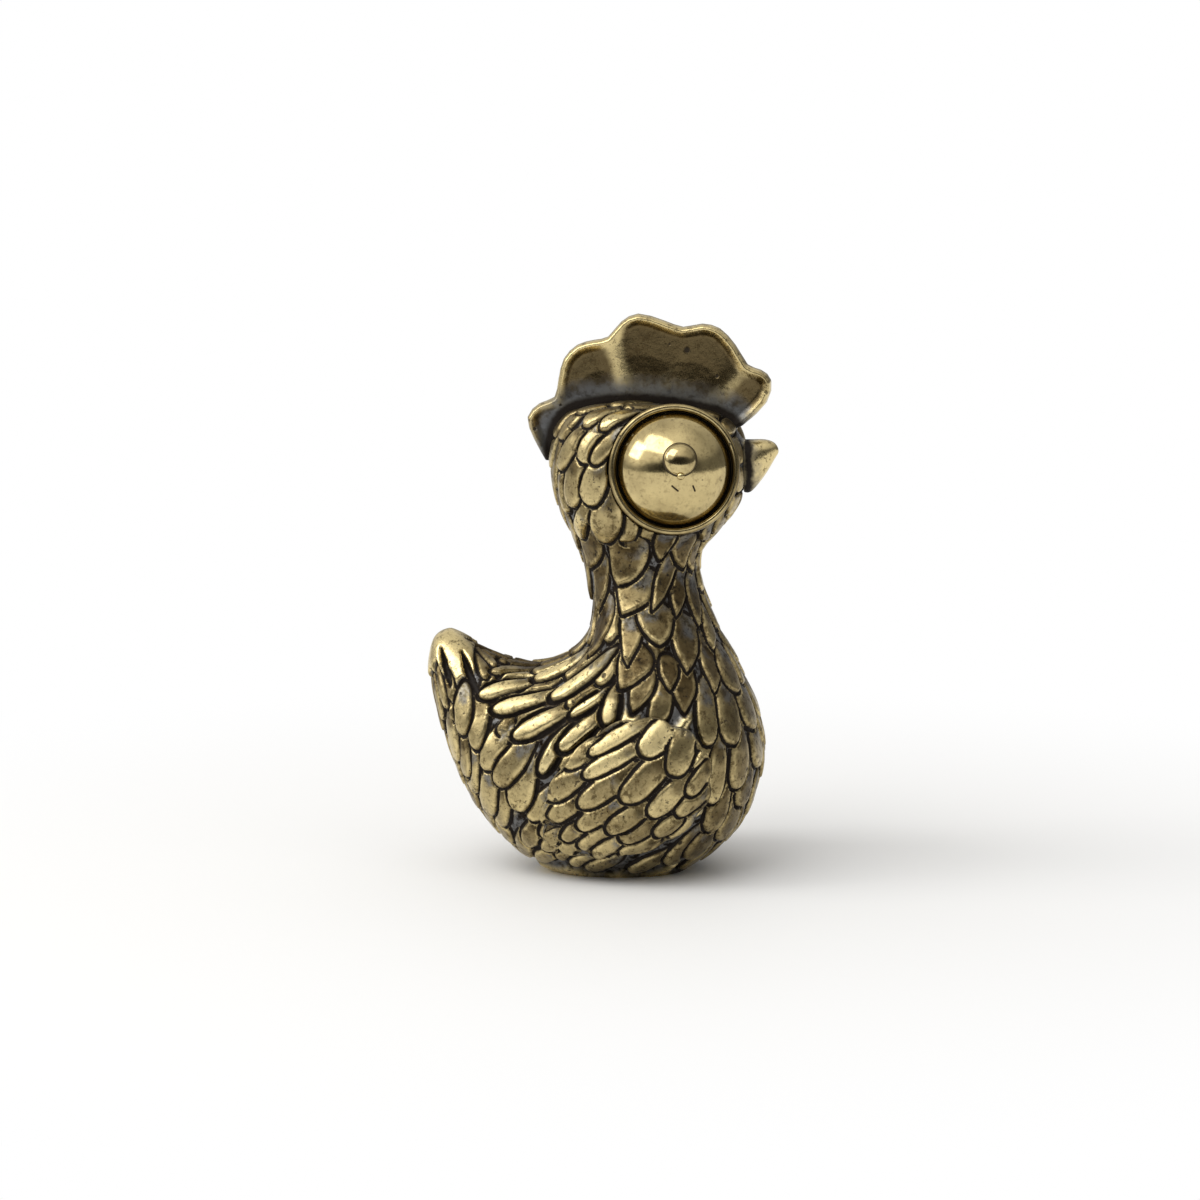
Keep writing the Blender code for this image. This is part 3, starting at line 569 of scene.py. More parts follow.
class Maker:
    """Adds nodes to one tree, which it empties first."""

    def __init__(self, tree):
        tree.nodes.clear()
        self.tree = tree

    def node(self, kind, settings=None, inputs=None, output=0):
        """A node, its settings made first and then its sockets' values or links; gives one output."""
        made = self.tree.nodes.new(kind)
        for name, value in (settings or {}).items():
            setattr(made, name, value)
        for key, value in (inputs or {}).items():
            if isinstance(value, Value):
                self.tree.links.new(value.socket, made.inputs[key])
            else:
                made.inputs[key].default_value = value
        return Value(self, made.outputs[output]) if made.outputs else None

    def math(self, operation, first, second=0.0):
        """The result of a Math node."""
        return self.node("ShaderNodeMath", {"operation": operation}, {0: first, 1: second})

    def most(self, first, second):
        """The larger of two numbers."""
        return self.math("MAXIMUM", first, second)

    def least(self, first, second):
        """The smaller of two numbers."""
        return self.math("MINIMUM", first, second)

    def vector(self, operation, first, second=(0.0, 0.0, 0.0)):
        """The result of a Vector Math node."""
        inputs = {0: first, "Scale" if operation == "SCALE" else 1: second}
        output = "Value" if operation in ("DOT_PRODUCT", "LENGTH") else "Vector"
        return self.node("ShaderNodeVectorMath", {"operation": operation}, inputs, output)

    def part(self, vector, axis):
        """One component of a vector."""
        return self.node("ShaderNodeSeparateXYZ", None, {"Vector": vector}, output=axis)

    def ramp(self, value, low, high, start=0.0, end=1.0):
        """A smooth step from start to end as the value goes from low to high."""
        return self.node(
            "ShaderNodeMapRange",
            {"interpolation_type": "SMOOTHSTEP"},
            {"Value": value, "From Min": low, "From Max": high, "To Min": start, "To Max": end},
        )

    def frayed(self, value, stipple, fray, step, start=0.0, end=1.0):
        """A smooth step whose edge is frayed by a stipple."""
        return self.ramp(value + (stipple - 0.5) * fray, *step, start, end)

    def mix(self, factor, first, second):
        """A colour between two."""
        inputs = {0: factor}
        for key, colour in ((6, first), (7, second)):
            inputs[key] = colour if isinstance(colour, Value) else (*colour, 1.0)
        return self.node("ShaderNodeMix", {"data_type": "RGBA"}, inputs, output=2)

    def light_path(self, output):
        """Whether the ray is of a kind."""
        return self.node("ShaderNodeLightPath", output=output)

    def attribute(self, name):
        """A number stored on the mesh."""
        return self.node("ShaderNodeAttribute", {"attribute_name": name}, output="Fac")

    def own_place(self):
        """The place on the piece itself."""
        return self.node("ShaderNodeTexCoord", output="Object")

    def noise(self, scale, detail=3.0, roughness=0.55):
        """Noise on the piece's own place, with the scale in marks to the metre."""
        inputs = {"Vector": self.own_place(), "Scale": scale, "Detail": detail, "Roughness": roughness}
        return self.node("ShaderNodeTexNoise", None, inputs)

    def pits(self, scale, size, patches, step):
        """Small round pits in patches: 1 inside a pit, with the scale in pits to the metre."""
        inputs = {"Vector": self.own_place(), "Scale": scale, "Randomness": 1.0}
        distance = self.node("ShaderNodeTexVoronoi", None, inputs, output="Distance")
        return self.ramp(distance, size * 0.5, size, 1.0, 0.0) * self.ramp(self.noise(patches, 2.0), *step)


class TreeMaker(Maker):
    """Adds nodes to one Geometry Nodes tree with named inputs and one output."""

    def __init__(self, name, sockets, output):
        super().__init__(bpy.data.node_groups.new(name, "GeometryNodeTree"))
        for label, kind in sockets.items():
            self.tree.interface.new_socket(label, in_out="INPUT", socket_type=f"NodeSocket{kind}")
        self.tree.interface.new_socket(output, in_out="OUTPUT", socket_type="NodeSocketGeometry")
        self.inputs = {label: self.node("NodeGroupInput", output=label) for label in sockets}

    def stored(self, name, kind="FLOAT"):
        """A value stored on the geometry."""
        return self.node("GeometryNodeInputNamedAttribute", {"data_type": kind}, {"Name": name})

    def stored_vector(self, name):
        """A vector stored on the geometry."""
        return self.stored(name, "FLOAT_VECTOR")

    def shape(self, label):
        """The geometry of an object that is an input."""
        return self.node("GeometryNodeObjectInfo", None, {"Object": self.inputs[label]}, output="Geometry")

    def store(self, geometry, name, value, kind="FLOAT"):
        """The geometry with a value stored on its points."""
        return self.node(
            "GeometryNodeStoreNamedAttribute",
            {"data_type": kind, "domain": "POINT"},
            {"Geometry": geometry, "Name": name, "Value": value},
        )

    def end(self, geometry):
        """Gives the geometry out and returns the tree."""
        self.node("NodeGroupOutput", None, {0: geometry})
        return self.tree


def place(forward, up, x=0.0):
    """A point from its place on the middle plane and its distance to the left."""
    return Vector((x, -forward, up))


def smooth(values, at, still_ends=False):
    """A curve through evenly counted values, read at the places given as counts from the first value."""
    values = np.asarray(values, float)
    slopes = np.gradient(values, axis=0)
    if still_ends:
        slopes[0] = 0
        slopes[-1] = 0
    first = np.minimum(np.floor(at).astype(int), len(values) - 2)
    t = (at - first).reshape((-1,) + (1,) * (values.ndim - 1))
    start = values[first] * (1 + 2 * t) * (1 - t) ** 2 + slopes[first] * t * (1 - t) ** 2
    end = values[first + 1] * t**2 * (3 - 2 * t) + slopes[first + 1] * t**2 * (t - 1)
    return start + end


def rounded(angle, fullness):
    """Cosine and sine of a superellipse, which is fuller than a circle above 2."""
    c, s = math.cos(angle), math.sin(angle)
    power = 2 / fullness
    return math.copysign(abs(c) ** power, c), math.copysign(abs(s) ** power, s)


def distance_to_line(points, line):
    """Distance of each point of an array to a line of points."""
    best = np.full(len(points), np.inf)
    for a, b in zip(line, line[1:]):
        step = b - a
        t = np.clip((points - a) @ step / max(step @ step, 1e-18), 0, 1)
        best = np.minimum(best, np.linalg.norm(points - a - t[:, None] * step, axis=1))
    return best


def fading(gaps, reach):
    """1 within half the reach of a mark, falling to 0 at one and a half times the reach."""
    return np.clip(1.5 - gaps / reach, 0, 1)


def join_rings(bm, rings):
    """Faces between neighbouring rings of vertices, as a fan where one is a single vertex."""
    for a, b in zip(rings, rings[1:]):
        count = max(len(a), len(b))
        for k in range(count):
            corners = [a[k % len(a)], a[(k + 1) % len(a)], b[(k + 1) % len(b)], b[k % len(b)]]
            bm.faces.new(list(dict.fromkeys(corners)))


def cut_away(bm, point, normal, **side):
    """Cuts a mesh along a plane, clears the side that is named, and gives the edges of the cut."""
    geometry = bm.verts[:] + bm.edges[:] + bm.faces[:]
    cut = bmesh.ops.bisect_plane(bm, geom=geometry, plane_co=point, plane_no=normal, **side)
    return [e for e in cut["geom_cut"] if isinstance(e, bmesh.types.BMEdge)]


def new_object(name, bm, coat=None):
    """An object at the origin from a mesh, shaded smooth, with its material."""
    mesh = bpy.data.meshes.new(name)
    bm.to_mesh(mesh)
    bm.free()
    mesh.shade_smooth()
    if coat:
        mesh.materials.append(coat)
    return linked(bpy.data.objects.new(name, mesh))


def linked(thing):
    """Puts an object into the scene."""
    bpy.context.scene.collection.objects.link(thing)
    return thing


def hidden(thing):
    """Keeps a helper out of sight."""
    thing.hide_render = True
    thing.hide_viewport = True
    return thing


def flatten(thing):
    """Turns an object with modifiers into a plain mesh."""
    evaluated = thing.evaluated_get(bpy.context.evaluated_depsgraph_get())
    mesh = bpy.data.meshes.new_from_object(evaluated)
    thing.modifiers.clear()
    thing.data = mesh
    return thing


def ray_tree(thing):
    """A tree for ray casts on an object's mesh."""
    bm = bmesh.new()
    bm.from_mesh(thing.data)
    tree = BVHTree.FromBMesh(bm)
    bm.free()
    return tree


def mesh_points(mesh):
    """The places of a mesh's vertices as an array."""
    points = np.zeros(3 * len(mesh.vertices))
    mesh.vertices.foreach_get("co", points)
    return points.reshape(-1, 3)


def store_marks(mesh, name, marks):
    """Stores a number or a vector for each vertex of a mesh."""
    marks = np.array(marks, np.float32)
    kind, field = ("FLOAT_VECTOR", "vector") if marks.ndim == 2 else ("FLOAT", "value")
    found = mesh.attributes.get(name) or mesh.attributes.new(name, kind, "POINT")
    found.data.foreach_set(field, marks.ravel())


def hand_in(piece, slot, *nodes):
    """Fixes a finished piece to the figure in place of its nodes."""
    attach(piece, "root")
    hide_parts(*nodes)


def node_points(node):
    """The corner points of a node's mesh, each once."""
    return np.unique(np.round(mesh_points(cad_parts[node].data), 7), axis=0)


def axis_frame(node, side):
    """The matrix of a turned node: Z outwards along its axis, Y upwards, the origin at its mean."""
    points = node_points(node)
    middle = points.mean(axis=0)
    values, vectors = np.linalg.eigh(np.cov((points - middle).T))
    apart = [abs(values[k] - np.delete(values, k)).min() for k in range(3)]
    outward = Vector(vectors[:, int(np.argmax(apart))]).normalized()
    if outward.x * side < 0:
        outward.negate()
    level = Vector((0, 0, 1)).cross(outward).normalized()
    matrix = Matrix((level, outward.cross(level), outward)).transposed().to_4x4()
    matrix.translation = Vector(middle)
    return matrix


def extent(node, matrix):
    """Largest radius, lowest and highest place of a node along the axis of a matrix."""
    local = [matrix.inverted() @ Vector(p) for p in node_points(node)]
    return max(math.hypot(p.x, p.y) for p in local), min(p.z for p in local), max(p.z for p in local)


def merged(node):
    """A copy of a node's mesh with its corners merged and its flat places joined."""
    bm = bmesh.new()
    bm.from_mesh(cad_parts[node].data)
    bmesh.ops.remove_doubles(bm, verts=bm.verts, dist=NODE_MERGE)
    bmesh.ops.join_triangles(bm, faces=bm.faces, angle_face_threshold=0.7, angle_shape_threshold=1.2)
    return bm


def camera_axes():
    """The camera's right and up, and the direction from the figure to it."""
    a, e = stage().azimuth, stage().elevation
    towards = Vector((math.sin(a) * math.cos(e), -math.cos(a) * math.cos(e), math.sin(e)))
    right = Vector((math.cos(a), math.sin(a), 0))
    return right, towards.cross(right), towards


def picture_point(x, y):
    """The point that shows at a pixel, on the plane through the figure's middle that faces the camera."""
    right, up, _ = camera_axes()
    offset = right * (x - PICTURE_MIDDLE[0]) - up * (y - PICTURE_MIDDLE[1])
    return Vector((0, 0, stage().middle)) + offset * stage().pixel


def camera_place():
    """Where the camera stands: square in front of the picture's middle pixel."""
    return picture_point(PICTURE_SIDE / 2, PICTURE_SIDE / 2) + camera_axes()[2] * stage().distance


def look(surface, x, y):
    """The point and normal of a surface that shows at a pixel, or None."""
    eye = camera_place()
    hit, normal, _, _ = surface.ray_cast(eye, (picture_point(x, y) - eye).normalized())
    return (hit, normal) if hit else None


def drawn_feather(surface, x0, y0, x1, y1, width):
    """A feather on a surface from its root, tip and width in the picture, or None if it misses."""
    middle = look(surface, (x0 + x1) / 2, (y0 + y1) / 2)
    root = look(surface, x0, y0)
    tip = look(surface, x1, y1)
    if not middle or not (root or tip):
        return None
    centre, out = middle
    if root and tip:
        span = tip[0] - root[0]
    else:
        span = ((root or tip)[0] - centre) * (-2 if root else 2)
    along = (span - out * span.dot(out)).normalized()
    pixels = math.hypot(x1 - x0, y1 - y0)
    dx, dy = -(y1 - y0) / pixels * width / 2, (x1 - x0) / pixels * width / 2
    edges = [look(surface, (x0 + x1) / 2 + s * dx, (y0 + y1) / 2 + s * dy) for s in (-1, 1)]
    real = [(edge[0] - centre).length for edge in edges if edge]
    wide = 2 * min(real) if real else width * stage().pixel
    return Feather(centre, along, out, span.length + 2 * GROOVE, wide + 2 * GROOVE)


def drawn_feathers(surface, rows):
    """The feathers of a list that show on a surface."""
    return [feather for feather in (drawn_feather(surface, *row) for row in rows) if feather]


def mirrored(feathers):
    """The same feathers on the other side."""
    flip = Vector((-1, 1, 1))
    return [Feather(f.centre * flip, f.along * flip, f.out * flip, f.length, f.width) for f in feathers]


def fill_feathers(skin, feathers, keep_out):
    """More feathers between and beyond the drawn ones, turned and sized like their neighbours."""
    spots = [(p.center.copy(), p.normal.copy()) for p in skin.data.polygons if not keep_out(p)]
    random.Random(sizes().seed).shuffle(spots)
    known = len(feathers)
    count = known
    centres = np.zeros((known + len(spots), 3))
    alongs = np.zeros_like(centres)
    spans = np.zeros((len(centres), 2))
    centres[:known] = [f.centre for f in feathers]
    alongs[:known] = [f.along for f in feathers]
    spans[:known] = [(f.length, f.width) for f in feathers]
    added = []
    for spot, normal in spots:
        out = np.array(normal)
        steps = np.array(spot) - centres[:count]
        reach = np.linalg.norm(steps, axis=1)
        near = np.argsort(reach[:known])[:FILL_NEIGHBOURS]
        weights = 1 / (reach[near] + FILL_EVEN) ** 2
        weights /= weights.sum()
        along = weights @ alongs[near]
        along -= out * (along @ out)
        along /= np.linalg.norm(along)
        span = np.clip(weights @ spans[near], FILL_SPAN_LOW, FILL_SPAN_HIGH)
        close = np.flatnonzero(reach < FILL_REACH)
        meet = (spans[close] + span) / 2
        run = (steps[close] * alongs[close]).sum(axis=1) / meet[:, 0]
        over = (steps[close] * np.cross(out, alongs[close])).sum(axis=1) / meet[:, 1]
        deep = np.abs(steps[close] @ out) / FILL_DEPTH
        if (np.abs(run) ** FILL_POWER + np.abs(over) ** FILL_POWER + deep < FILL_CROWDING).any():
            continue
        centres[count] = spot
        alongs[count] = along
        spans[count] = span
        count += 1
        added.append(Feather(spot, Vector(along), normal, *span))
    return added


def leaf(name, root_power, tip_power, hidden_root=0.2, stations=12):
    """The pattern of one feather in units of its own length and width, with its tip at +X.

    Each vertex keeps its distance from the outline in groove half widths and the way that points,
    its share of the swell, and its share of the way from root to tip.
    """
    runs = [(1 - math.cos(math.pi * k / stations)) / 2 for k in range(stations + 1)]
    halves = [run**root_power * (1 - run) ** tip_power for run in runs]
    widest = max(halves)
    whole = 1 + hidden_root
    half_outline = [(run * whole - 0.5 - hidden_root, 0.5 * h / widest) for run, h in zip(runs, halves)]
    outline = half_outline + [(x, -y) for x, y in half_outline[-2:0:-1]]
    way = runs + runs[-2:0:-1]
    bm = bmesh.new()
    layers = {key: bm.verts.layers.float.new(key) for key in LEAF_MIDDLE}
    flare = bm.verts.layers.float_vector.new("flare")

    def vertex(spot, values):
        vert = bm.verts.new(spot)
        for key, layer in layers.items():
            vert[layer] = values[key]
        return vert

    loops = []
    for edge, share, crown in LEAF_RINGS:
        loop = []
        for k, (x, y) in enumerate(outline):
            before, after = outline[k - 1], outline[(k + 1) % len(outline)]
            values = {"inset": -edge if share == 1 else 0.0, "edge": edge, "crown": crown, "run": way[k]}
            vert = vertex((x * share, y * share, 0), values)
            outward = Vector((before[1] - after[1], (after[0] - before[0]) * LEAF_ASPECT, 0))
            vert[flare] = outward.normalized()
            loop.append(vert)
        loops.append(loop)
    join_rings(bm, loops + [[vertex((0, 0, 0), LEAF_MIDDLE)]])
    return hidden(new_object(name, bm))


def pattern_tree():
    """Sets a leaf on every seat and bends it along the skin, at a height that slopes from root to tip."""
    maker = TreeMaker(
        "feather_pattern",
        {"Seats": "Geometry", "Leaf": "Object", "Skin": "Object", "Groove": "Float", "Wobble": "Float"},
        "Pattern",
    )
    out = maker.stored_vector("out")
    along = maker.stored_vector("along")
    across = maker.vector("CROSS_PRODUCT", out, along)
    skin = maker.shape("Skin")
    axes = {"primary_axis": "Z", "secondary_axis": "X"}
    seats = {
        "Points": maker.inputs["Seats"],
        "Instance": maker.shape("Leaf"),
        "Rotation": maker.node("FunctionNodeAxesToRotation", axes, {0: out, 1: along}),
        "Scale": maker.stored_vector("measure"),
    }
    leaves = maker.node("GeometryNodeInstanceOnPoints", None, seats)
    loose = maker.node("GeometryNodeRealizeInstances", None, {"Geometry": leaves})

    spot = maker.node("GeometryNodeInputPosition")
    flare = maker.stored_vector("flare")
    inset = maker.stored("inset") * maker.stored("fineness") * maker.inputs["Groove"]
    offset = maker.vector(
        "ADD",
        maker.vector("SCALE", along, maker.part(flare, "X") * inset),
        maker.vector("SCALE", across, maker.part(flare, "Y") * inset),
    )
    drawn = maker.vector("ADD", spot, offset)
    grain = {"Vector": spot, "Scale": WOBBLE_SCALE, "Detail": 1.0}
    noise = maker.node("ShaderNodeTexNoise", None, grain, output="Color")
    sway = maker.vector("SUBTRACT", noise, (0.5, 0.5, 0.5))
    stray = maker.vector("SCALE", sway, maker.inputs["Wobble"] * WOBBLE_GAIN)
    strayed = maker.vector("ADD", drawn, stray)

    def on_skin(field):
        return maker.node(
            "GeometryNodeSampleNearestSurface",
            {"data_type": "FLOAT_VECTOR"},
            {"Mesh": skin, "Value": field, "Sample Position": strayed},
        )

    foot = on_skin(maker.node("GeometryNodeInputPosition"))
    rise = on_skin(maker.node("GeometryNodeInputNormal"))
    way = maker.vector("DOT_PRODUCT", maker.vector("SUBTRACT", drawn, maker.stored_vector("seat")), along)
    height = way * HOVER_SLOPE + maker.stored("raise") + HOVER
    swell = maker.stored("crown") * maker.stored("swell") * maker.stored("fineness")
    form = swell + way * maker.stored("tilt")
    edge = maker.least(maker.stored("edge"), maker.stored("edge") * maker.stored("raised"))
    kept = {0: edge, 1: maker.stored("run"), 2: maker.stored("tint")}
    marks = maker.node("ShaderNodeCombineXYZ", None, kept)
    geometry = maker.store(loose, "form", form)
    geometry = maker.store(geometry, "marks", marks, "FLOAT_VECTOR")
    final = maker.vector("ADD", foot, maker.vector("SCALE", rise, height))
    return maker.end(maker.node("GeometryNodeSetPosition", None, {"Geometry": geometry, "Position": final}))


def carving_tree():
    """Carves the pattern that hovers over a casting into it, and stores what the finish needs to know."""
    sockets = {"Casting": "Geometry", "Pattern": "Object", "Facing": "Vector", "Material": "Material"}
    sockets.update(dict.fromkeys(("Relief", "Recess", "Sink", "All round"), "Float"))
    maker = TreeMaker("feather_carving", sockets, "Carved")
    pattern = maker.shape("Pattern")
    spot = maker.node("GeometryNodeInputPosition")
    out = maker.node("GeometryNodeInputNormal")

    def read(name, kind, start, reach, output):
        return maker.node(
            "GeometryNodeRaycast",
            {"data_type": kind},
            {
                "Target Geometry": pattern,
                "Attribute": maker.stored(name, kind),
                "Source Position": maker.vector("ADD", spot, maker.vector("SCALE", out, start)),
                "Ray Direction": maker.vector("SCALE", out, math.copysign(1.0, reach)),
                "Ray Length": abs(reach),
            },
            output=output,
        )

    from_above = (HOVER_REACH, -2 * HOVER_REACH)
    from_below = (-0.2 * HOVER_REACH, 1.5 * HOVER_REACH)
    marks = read("marks", "FLOAT_VECTOR", *from_above, "Attribute")
    covered = read("marks", "FLOAT_VECTOR", *from_above, "Is Hit") * 1.0
    form = read("form", "FLOAT", *from_above, "Attribute")
    lowest = maker.part(read("marks", "FLOAT_VECTOR", *from_below, "Attribute"), "X")
    edge = maker.part(marks, "X")
    outside = maker.math("LESS_THAN", edge, 0.0)
    nothing_under = maker.math("LESS_THAN", lowest, 0.0)
    bare = maker.most(1.0 - covered, outside * nothing_under)
    nearest = {"Geometry": pattern, "Sample Position": spot}
    near = maker.node("GeometryNodeProximity", None, nearest, output="Distance")
    cap = zip("YZ", TAIL_CAP)
    behind, above = (maker.ramp(maker.part(spot, axis), low, low + TAIL_CAP_BLEND) for axis, low in cap)
    plain = maker.most(behind * above, maker.ramp(near, *PLAIN_STEP)) * (1.0 - covered)
    distance = maker.math("ABSOLUTE", edge)
    groove = maker.ramp(distance, 0.0, 1.0, 1.0, 0.0) * covered
    depth = maker.most(groove * maker.inputs["Relief"], bare * (1.0 - plain) * maker.inputs["Recess"])
    front = maker.ramp(maker.vector("DOT_PRODUCT", out, maker.inputs["Facing"]), *FACE_STEP)
    front = maker.most(front, maker.inputs["All round"])
    sink = maker.inputs["Sink"] * (1.0 - PLAIN_SPARED * plain)
    height = (form * (1.0 - groove) * (1.0 - bare) - depth - sink) * front
    rounds = {"Value": height, "Iterations": SOFTENING}
    height = maker.node("GeometryNodeBlurAttribute", {"data_type": "FLOAT"}, rounds)
    geometry = maker.inputs["Casting"]
    values = {
        "groove": maker.most(groove * front, EDGE_SOIL - EDGE_SOIL * front),
        "bare": bare * front,
        "plain": plain,
        "edge": distance + (1.0 - covered) * NO_FEATHER,
        "run": maker.part(marks, "Y"),
        "tint": maker.part(marks, "Z"),
    }
    for name, value in values.items():
        geometry = maker.store(geometry, name, value)
    moves = {
        "Geometry": geometry,
        "Selection": maker.math("GREATER_THAN", maker.part(spot, "Z"), FLAT_BAND),
        "Offset": maker.vector("SCALE", out, height),
    }
    geometry = maker.node("GeometryNodeSetPosition", None, moves)
    geometry = maker.node("GeometryNodeSetShadeSmooth", None, {"Geometry": geometry})
    geometry = maker.node("GeometryNodeRealizeInstances", None, {"Geometry": geometry})
    coated = {"Geometry": geometry, "Material": maker.inputs["Material"]}
    return maker.end(maker.node("GeometryNodeSetMaterial", None, coated))


TREES = {"feather_pattern": pattern_tree, "feather_carving": carving_tree}


def run_tree(thing, name, settings):
    """Runs a tree on an object with its inputs set, and leaves the object as a plain mesh."""
    tree = bpy.data.node_groups.get(name) or TREES[name]()
    modifier = thing.modifiers.new(name, "NODES")
    modifier.node_group = tree
    for socket in tree.interface.items_tree:
        if socket.name in settings:
            modifier[socket.identifier] = settings[socket.name]
    flatten(thing)
    if not len(thing.data.polygons):
        raise RuntimeError(f"{thing.name} came out empty")
    return thing


def lay_pattern(name, feathers, shape, skin, manner):
    """A hidden pattern of feathers laid over a skin object."""
    rng = random.Random(f"{name} {sizes().seed}")
    mesh = bpy.data.meshes.new(name)
    mesh.from_pydata([f.centre for f in feathers], [], [])
    marks = {
        "out": [f.out for f in feathers],
        "along": [f.along for f in feathers],
        "seat": [f.centre for f in feathers],
        "measure": [Vector((f.length, f.width, 1.0)) for f in feathers],
        "raise": [manner.hover + rng.uniform(-RAISE_STRAY, RAISE_STRAY) for _ in feathers],
        "tint": [manner.tone + rng.uniform(-TONE_STRAY, TONE_STRAY) for _ in feathers],
        "fineness": [manner.groove * min(1.0, f.width / FULL_GROOVE_WIDTH) for f in feathers],
        "swell": [manner.swell for _ in feathers],
        "tilt": [manner.tilt for _ in feathers],
        "raised": [manner.raised for _ in feathers],
    }
    for key, values in marks.items():
        store_marks(mesh, key, values)
    pattern = linked(bpy.data.objects.new(name, mesh))
    settings = {"Leaf": shape, "Skin": skin, "Groove": GROOVE, "Wobble": sizes().wobble}
    return hidden(run_tree(pattern, "feather_pattern", settings))


def joined(name, things):
    """One hidden object from several."""
    bm = bmesh.new()
    for thing in things:
        bm.from_mesh(thing.data)
    return hidden(new_object(name, bm))


def carve(piece, pattern, share=1.0, facing=None):
    """Carves a pattern into a fine mesh of a piece, to a share of the depth, all round or on one face."""
    remesh = piece.modifiers.new("even_facets", "REMESH")
    remesh.mode = "VOXEL"
    remesh.voxel_size = sizes().voxel
    flatten(piece)
    settings = {
        "Pattern": pattern,
        "Relief": sizes().relief * share,
        "Recess": sizes().recess * share,
        "Sink": sizes().sink,
        "Facing": facing or (0.0, 0.0, 0.0),
        "All round": 0.0 if facing else 1.0,
        "Material": material("carved_brass"),
    }
    return run_tree(piece, "feather_carving", settings)


def new_material(name):
    """A new material, and the tool that adds nodes to it."""
    made = bpy.data.materials.new(name)
    made.use_nodes = True
    return made, Maker(made.node_tree)


def finish(maker, colour, roughness, dark, height, depth):
    """Joins the Principled shader: rough patina where it is dark, and fine unevenness as bump."""
    bump = {"Strength": 1.0, "Distance": depth, "Height": height}
    inputs = {
        "Base Color": maker.mix(dark, colour, colours().patina),
        "Roughness": roughness + dark * PATINA_ROUGH,
        "Metallic": 1.0 - dark * PATINA_COVER,
        "Normal": maker.node("ShaderNodeBump", None, bump),
        "Specular IOR Level": PATINA_GLOSS,
    }
    shader = maker.node("ShaderNodeBsdfPrincipled", None, inputs)
    maker.node("ShaderNodeOutputMaterial", None, {"Surface": shader})


def mottled_brass(maker, tone):
    """Rubbed brass with deeper clouds and brown stains, and the stains as a number; low tones lighten it, a
    painted highlight on the shoulder and cape.
    """
    palette = colours()
    clouds = maker.ramp(maker.noise(*CLOUDS) + tone * 0.3, *CLOUD_STEP)
    stains = maker.ramp(maker.noise(*STAINS) + tone * 0.03, *STAIN_STEP)
    # Low tones mix in the brightest brass: on the shoulder and cape feathers this is a painted highlight
    rubbed_and_highlit = maker.mix(maker.ramp(tone, *HIGHLIGHT_STEP, 1.0, 0.0), palette.brass, palette.highlight_brass)
    colour = maker.mix(clouds * 0.9, rubbed_and_highlit, palette.deep_brass)
    return maker.mix(stains * 0.75, colour, palette.brown), stains


def plumage_material():
    """Feathers: rubbed tops and rims, painted highlight on shoulder and cape, black grooves, dull roots, grey
    open places, painted shade in the back's hollow, plain rubbed skin.
    """
    made, maker = new_material("carved_brass")
    palette = colours()
    marks = ("bare", "plain", "edge", "tint", "saddle_shade", "run", "groove")
    bare, plain, edge, tone, saddle_shade, run, groove = (maker.attribute(name) for name in marks)
    feathered = 1.0 - plain
    stipple = maker.noise(*STIPPLE)
    colour, stains = mottled_brass(maker, tone)

    # Feathers: a brown hollow in the dark ones, sandy grain, and roots darkened with old skin, partly painted
    # shade under the tips over them
    middle = maker.frayed(edge, stipple, 1.2, FEATHER_MIDDLE_STEP) * feathered
    hollow = maker.mix(maker.ramp(stipple, *HOLLOW_STEP), palette.brown, palette.patina)
    colour = maker.mix(middle * maker.most(tone, 0.0) * 0.8, colour, hollow)
    colour = maker.mix(maker.ramp(maker.noise(*SAND), *SAND_STEP) * 0.3, colour, palette.brown)
    root = maker.frayed(run, stipple, 0.4, FEATHER_ROOT_STEP, 1.0, 0.0) * feathered
    blackish = maker.ramp(stipple, *BLACKISH_STEP)
    old_skin = maker.mix(maker.ramp(maker.noise(*OLD_SKIN), *OLD_SKIN_STEP), palette.brown, palette.slate)
    colour = maker.mix(root * 0.75, colour, maker.mix(blackish * 0.8, old_skin, palette.patina))

    # Between the feathers: grey cast skin, soiled edges, and painted shade in the hollow of the back
    open_place = bare * feathered
    colour = maker.mix(open_place, colour, maker.mix(blackish, palette.bare, palette.patina))
    soiled = maker.frayed(edge, stipple, 1.2, FEATHER_EDGE_STEP, 1.0, 0.0)
    colour = maker.mix(soiled * (0.7 - 0.45 * tone), colour, palette.brown)
    # Painted shade: the hollow of the back is darkened towards brown and black
    colour = maker.mix(saddle_shade * 0.9, colour, hollow)

    # Black: the grooves, and small pits and specks
    pit = maker.pits(*PLUMAGE_PITS)
    speck = maker.ramp(maker.noise(*SPECKS) + maker.noise(*SPECK_PATCHES) * 0.3, *SPECK_STEP)
    dark = maker.most(maker.frayed(groove, stipple, 0.25, GROOVE_STEP), maker.most(pit, speck) * 0.85)
    satin = maker.ramp(tone, *SATIN_STEP, 0.24, 0.0) * feathered
    dull = maker.most(root * 0.55, open_place)
    roughness = 0.22 + satin + tone * 0.12 + stains * 0.16 + stipple * 0.1 + dull * 0.2 + saddle_shade * 0.2
    height = maker.noise(*FINE_BUMPS) * 0.45 + maker.noise(*BROAD_BUMPS) * 0.7 - pit * 1.2 - speck * 0.3
    finish(maker, colour, roughness, dark, height, PLUMAGE_BUMP)
    return made


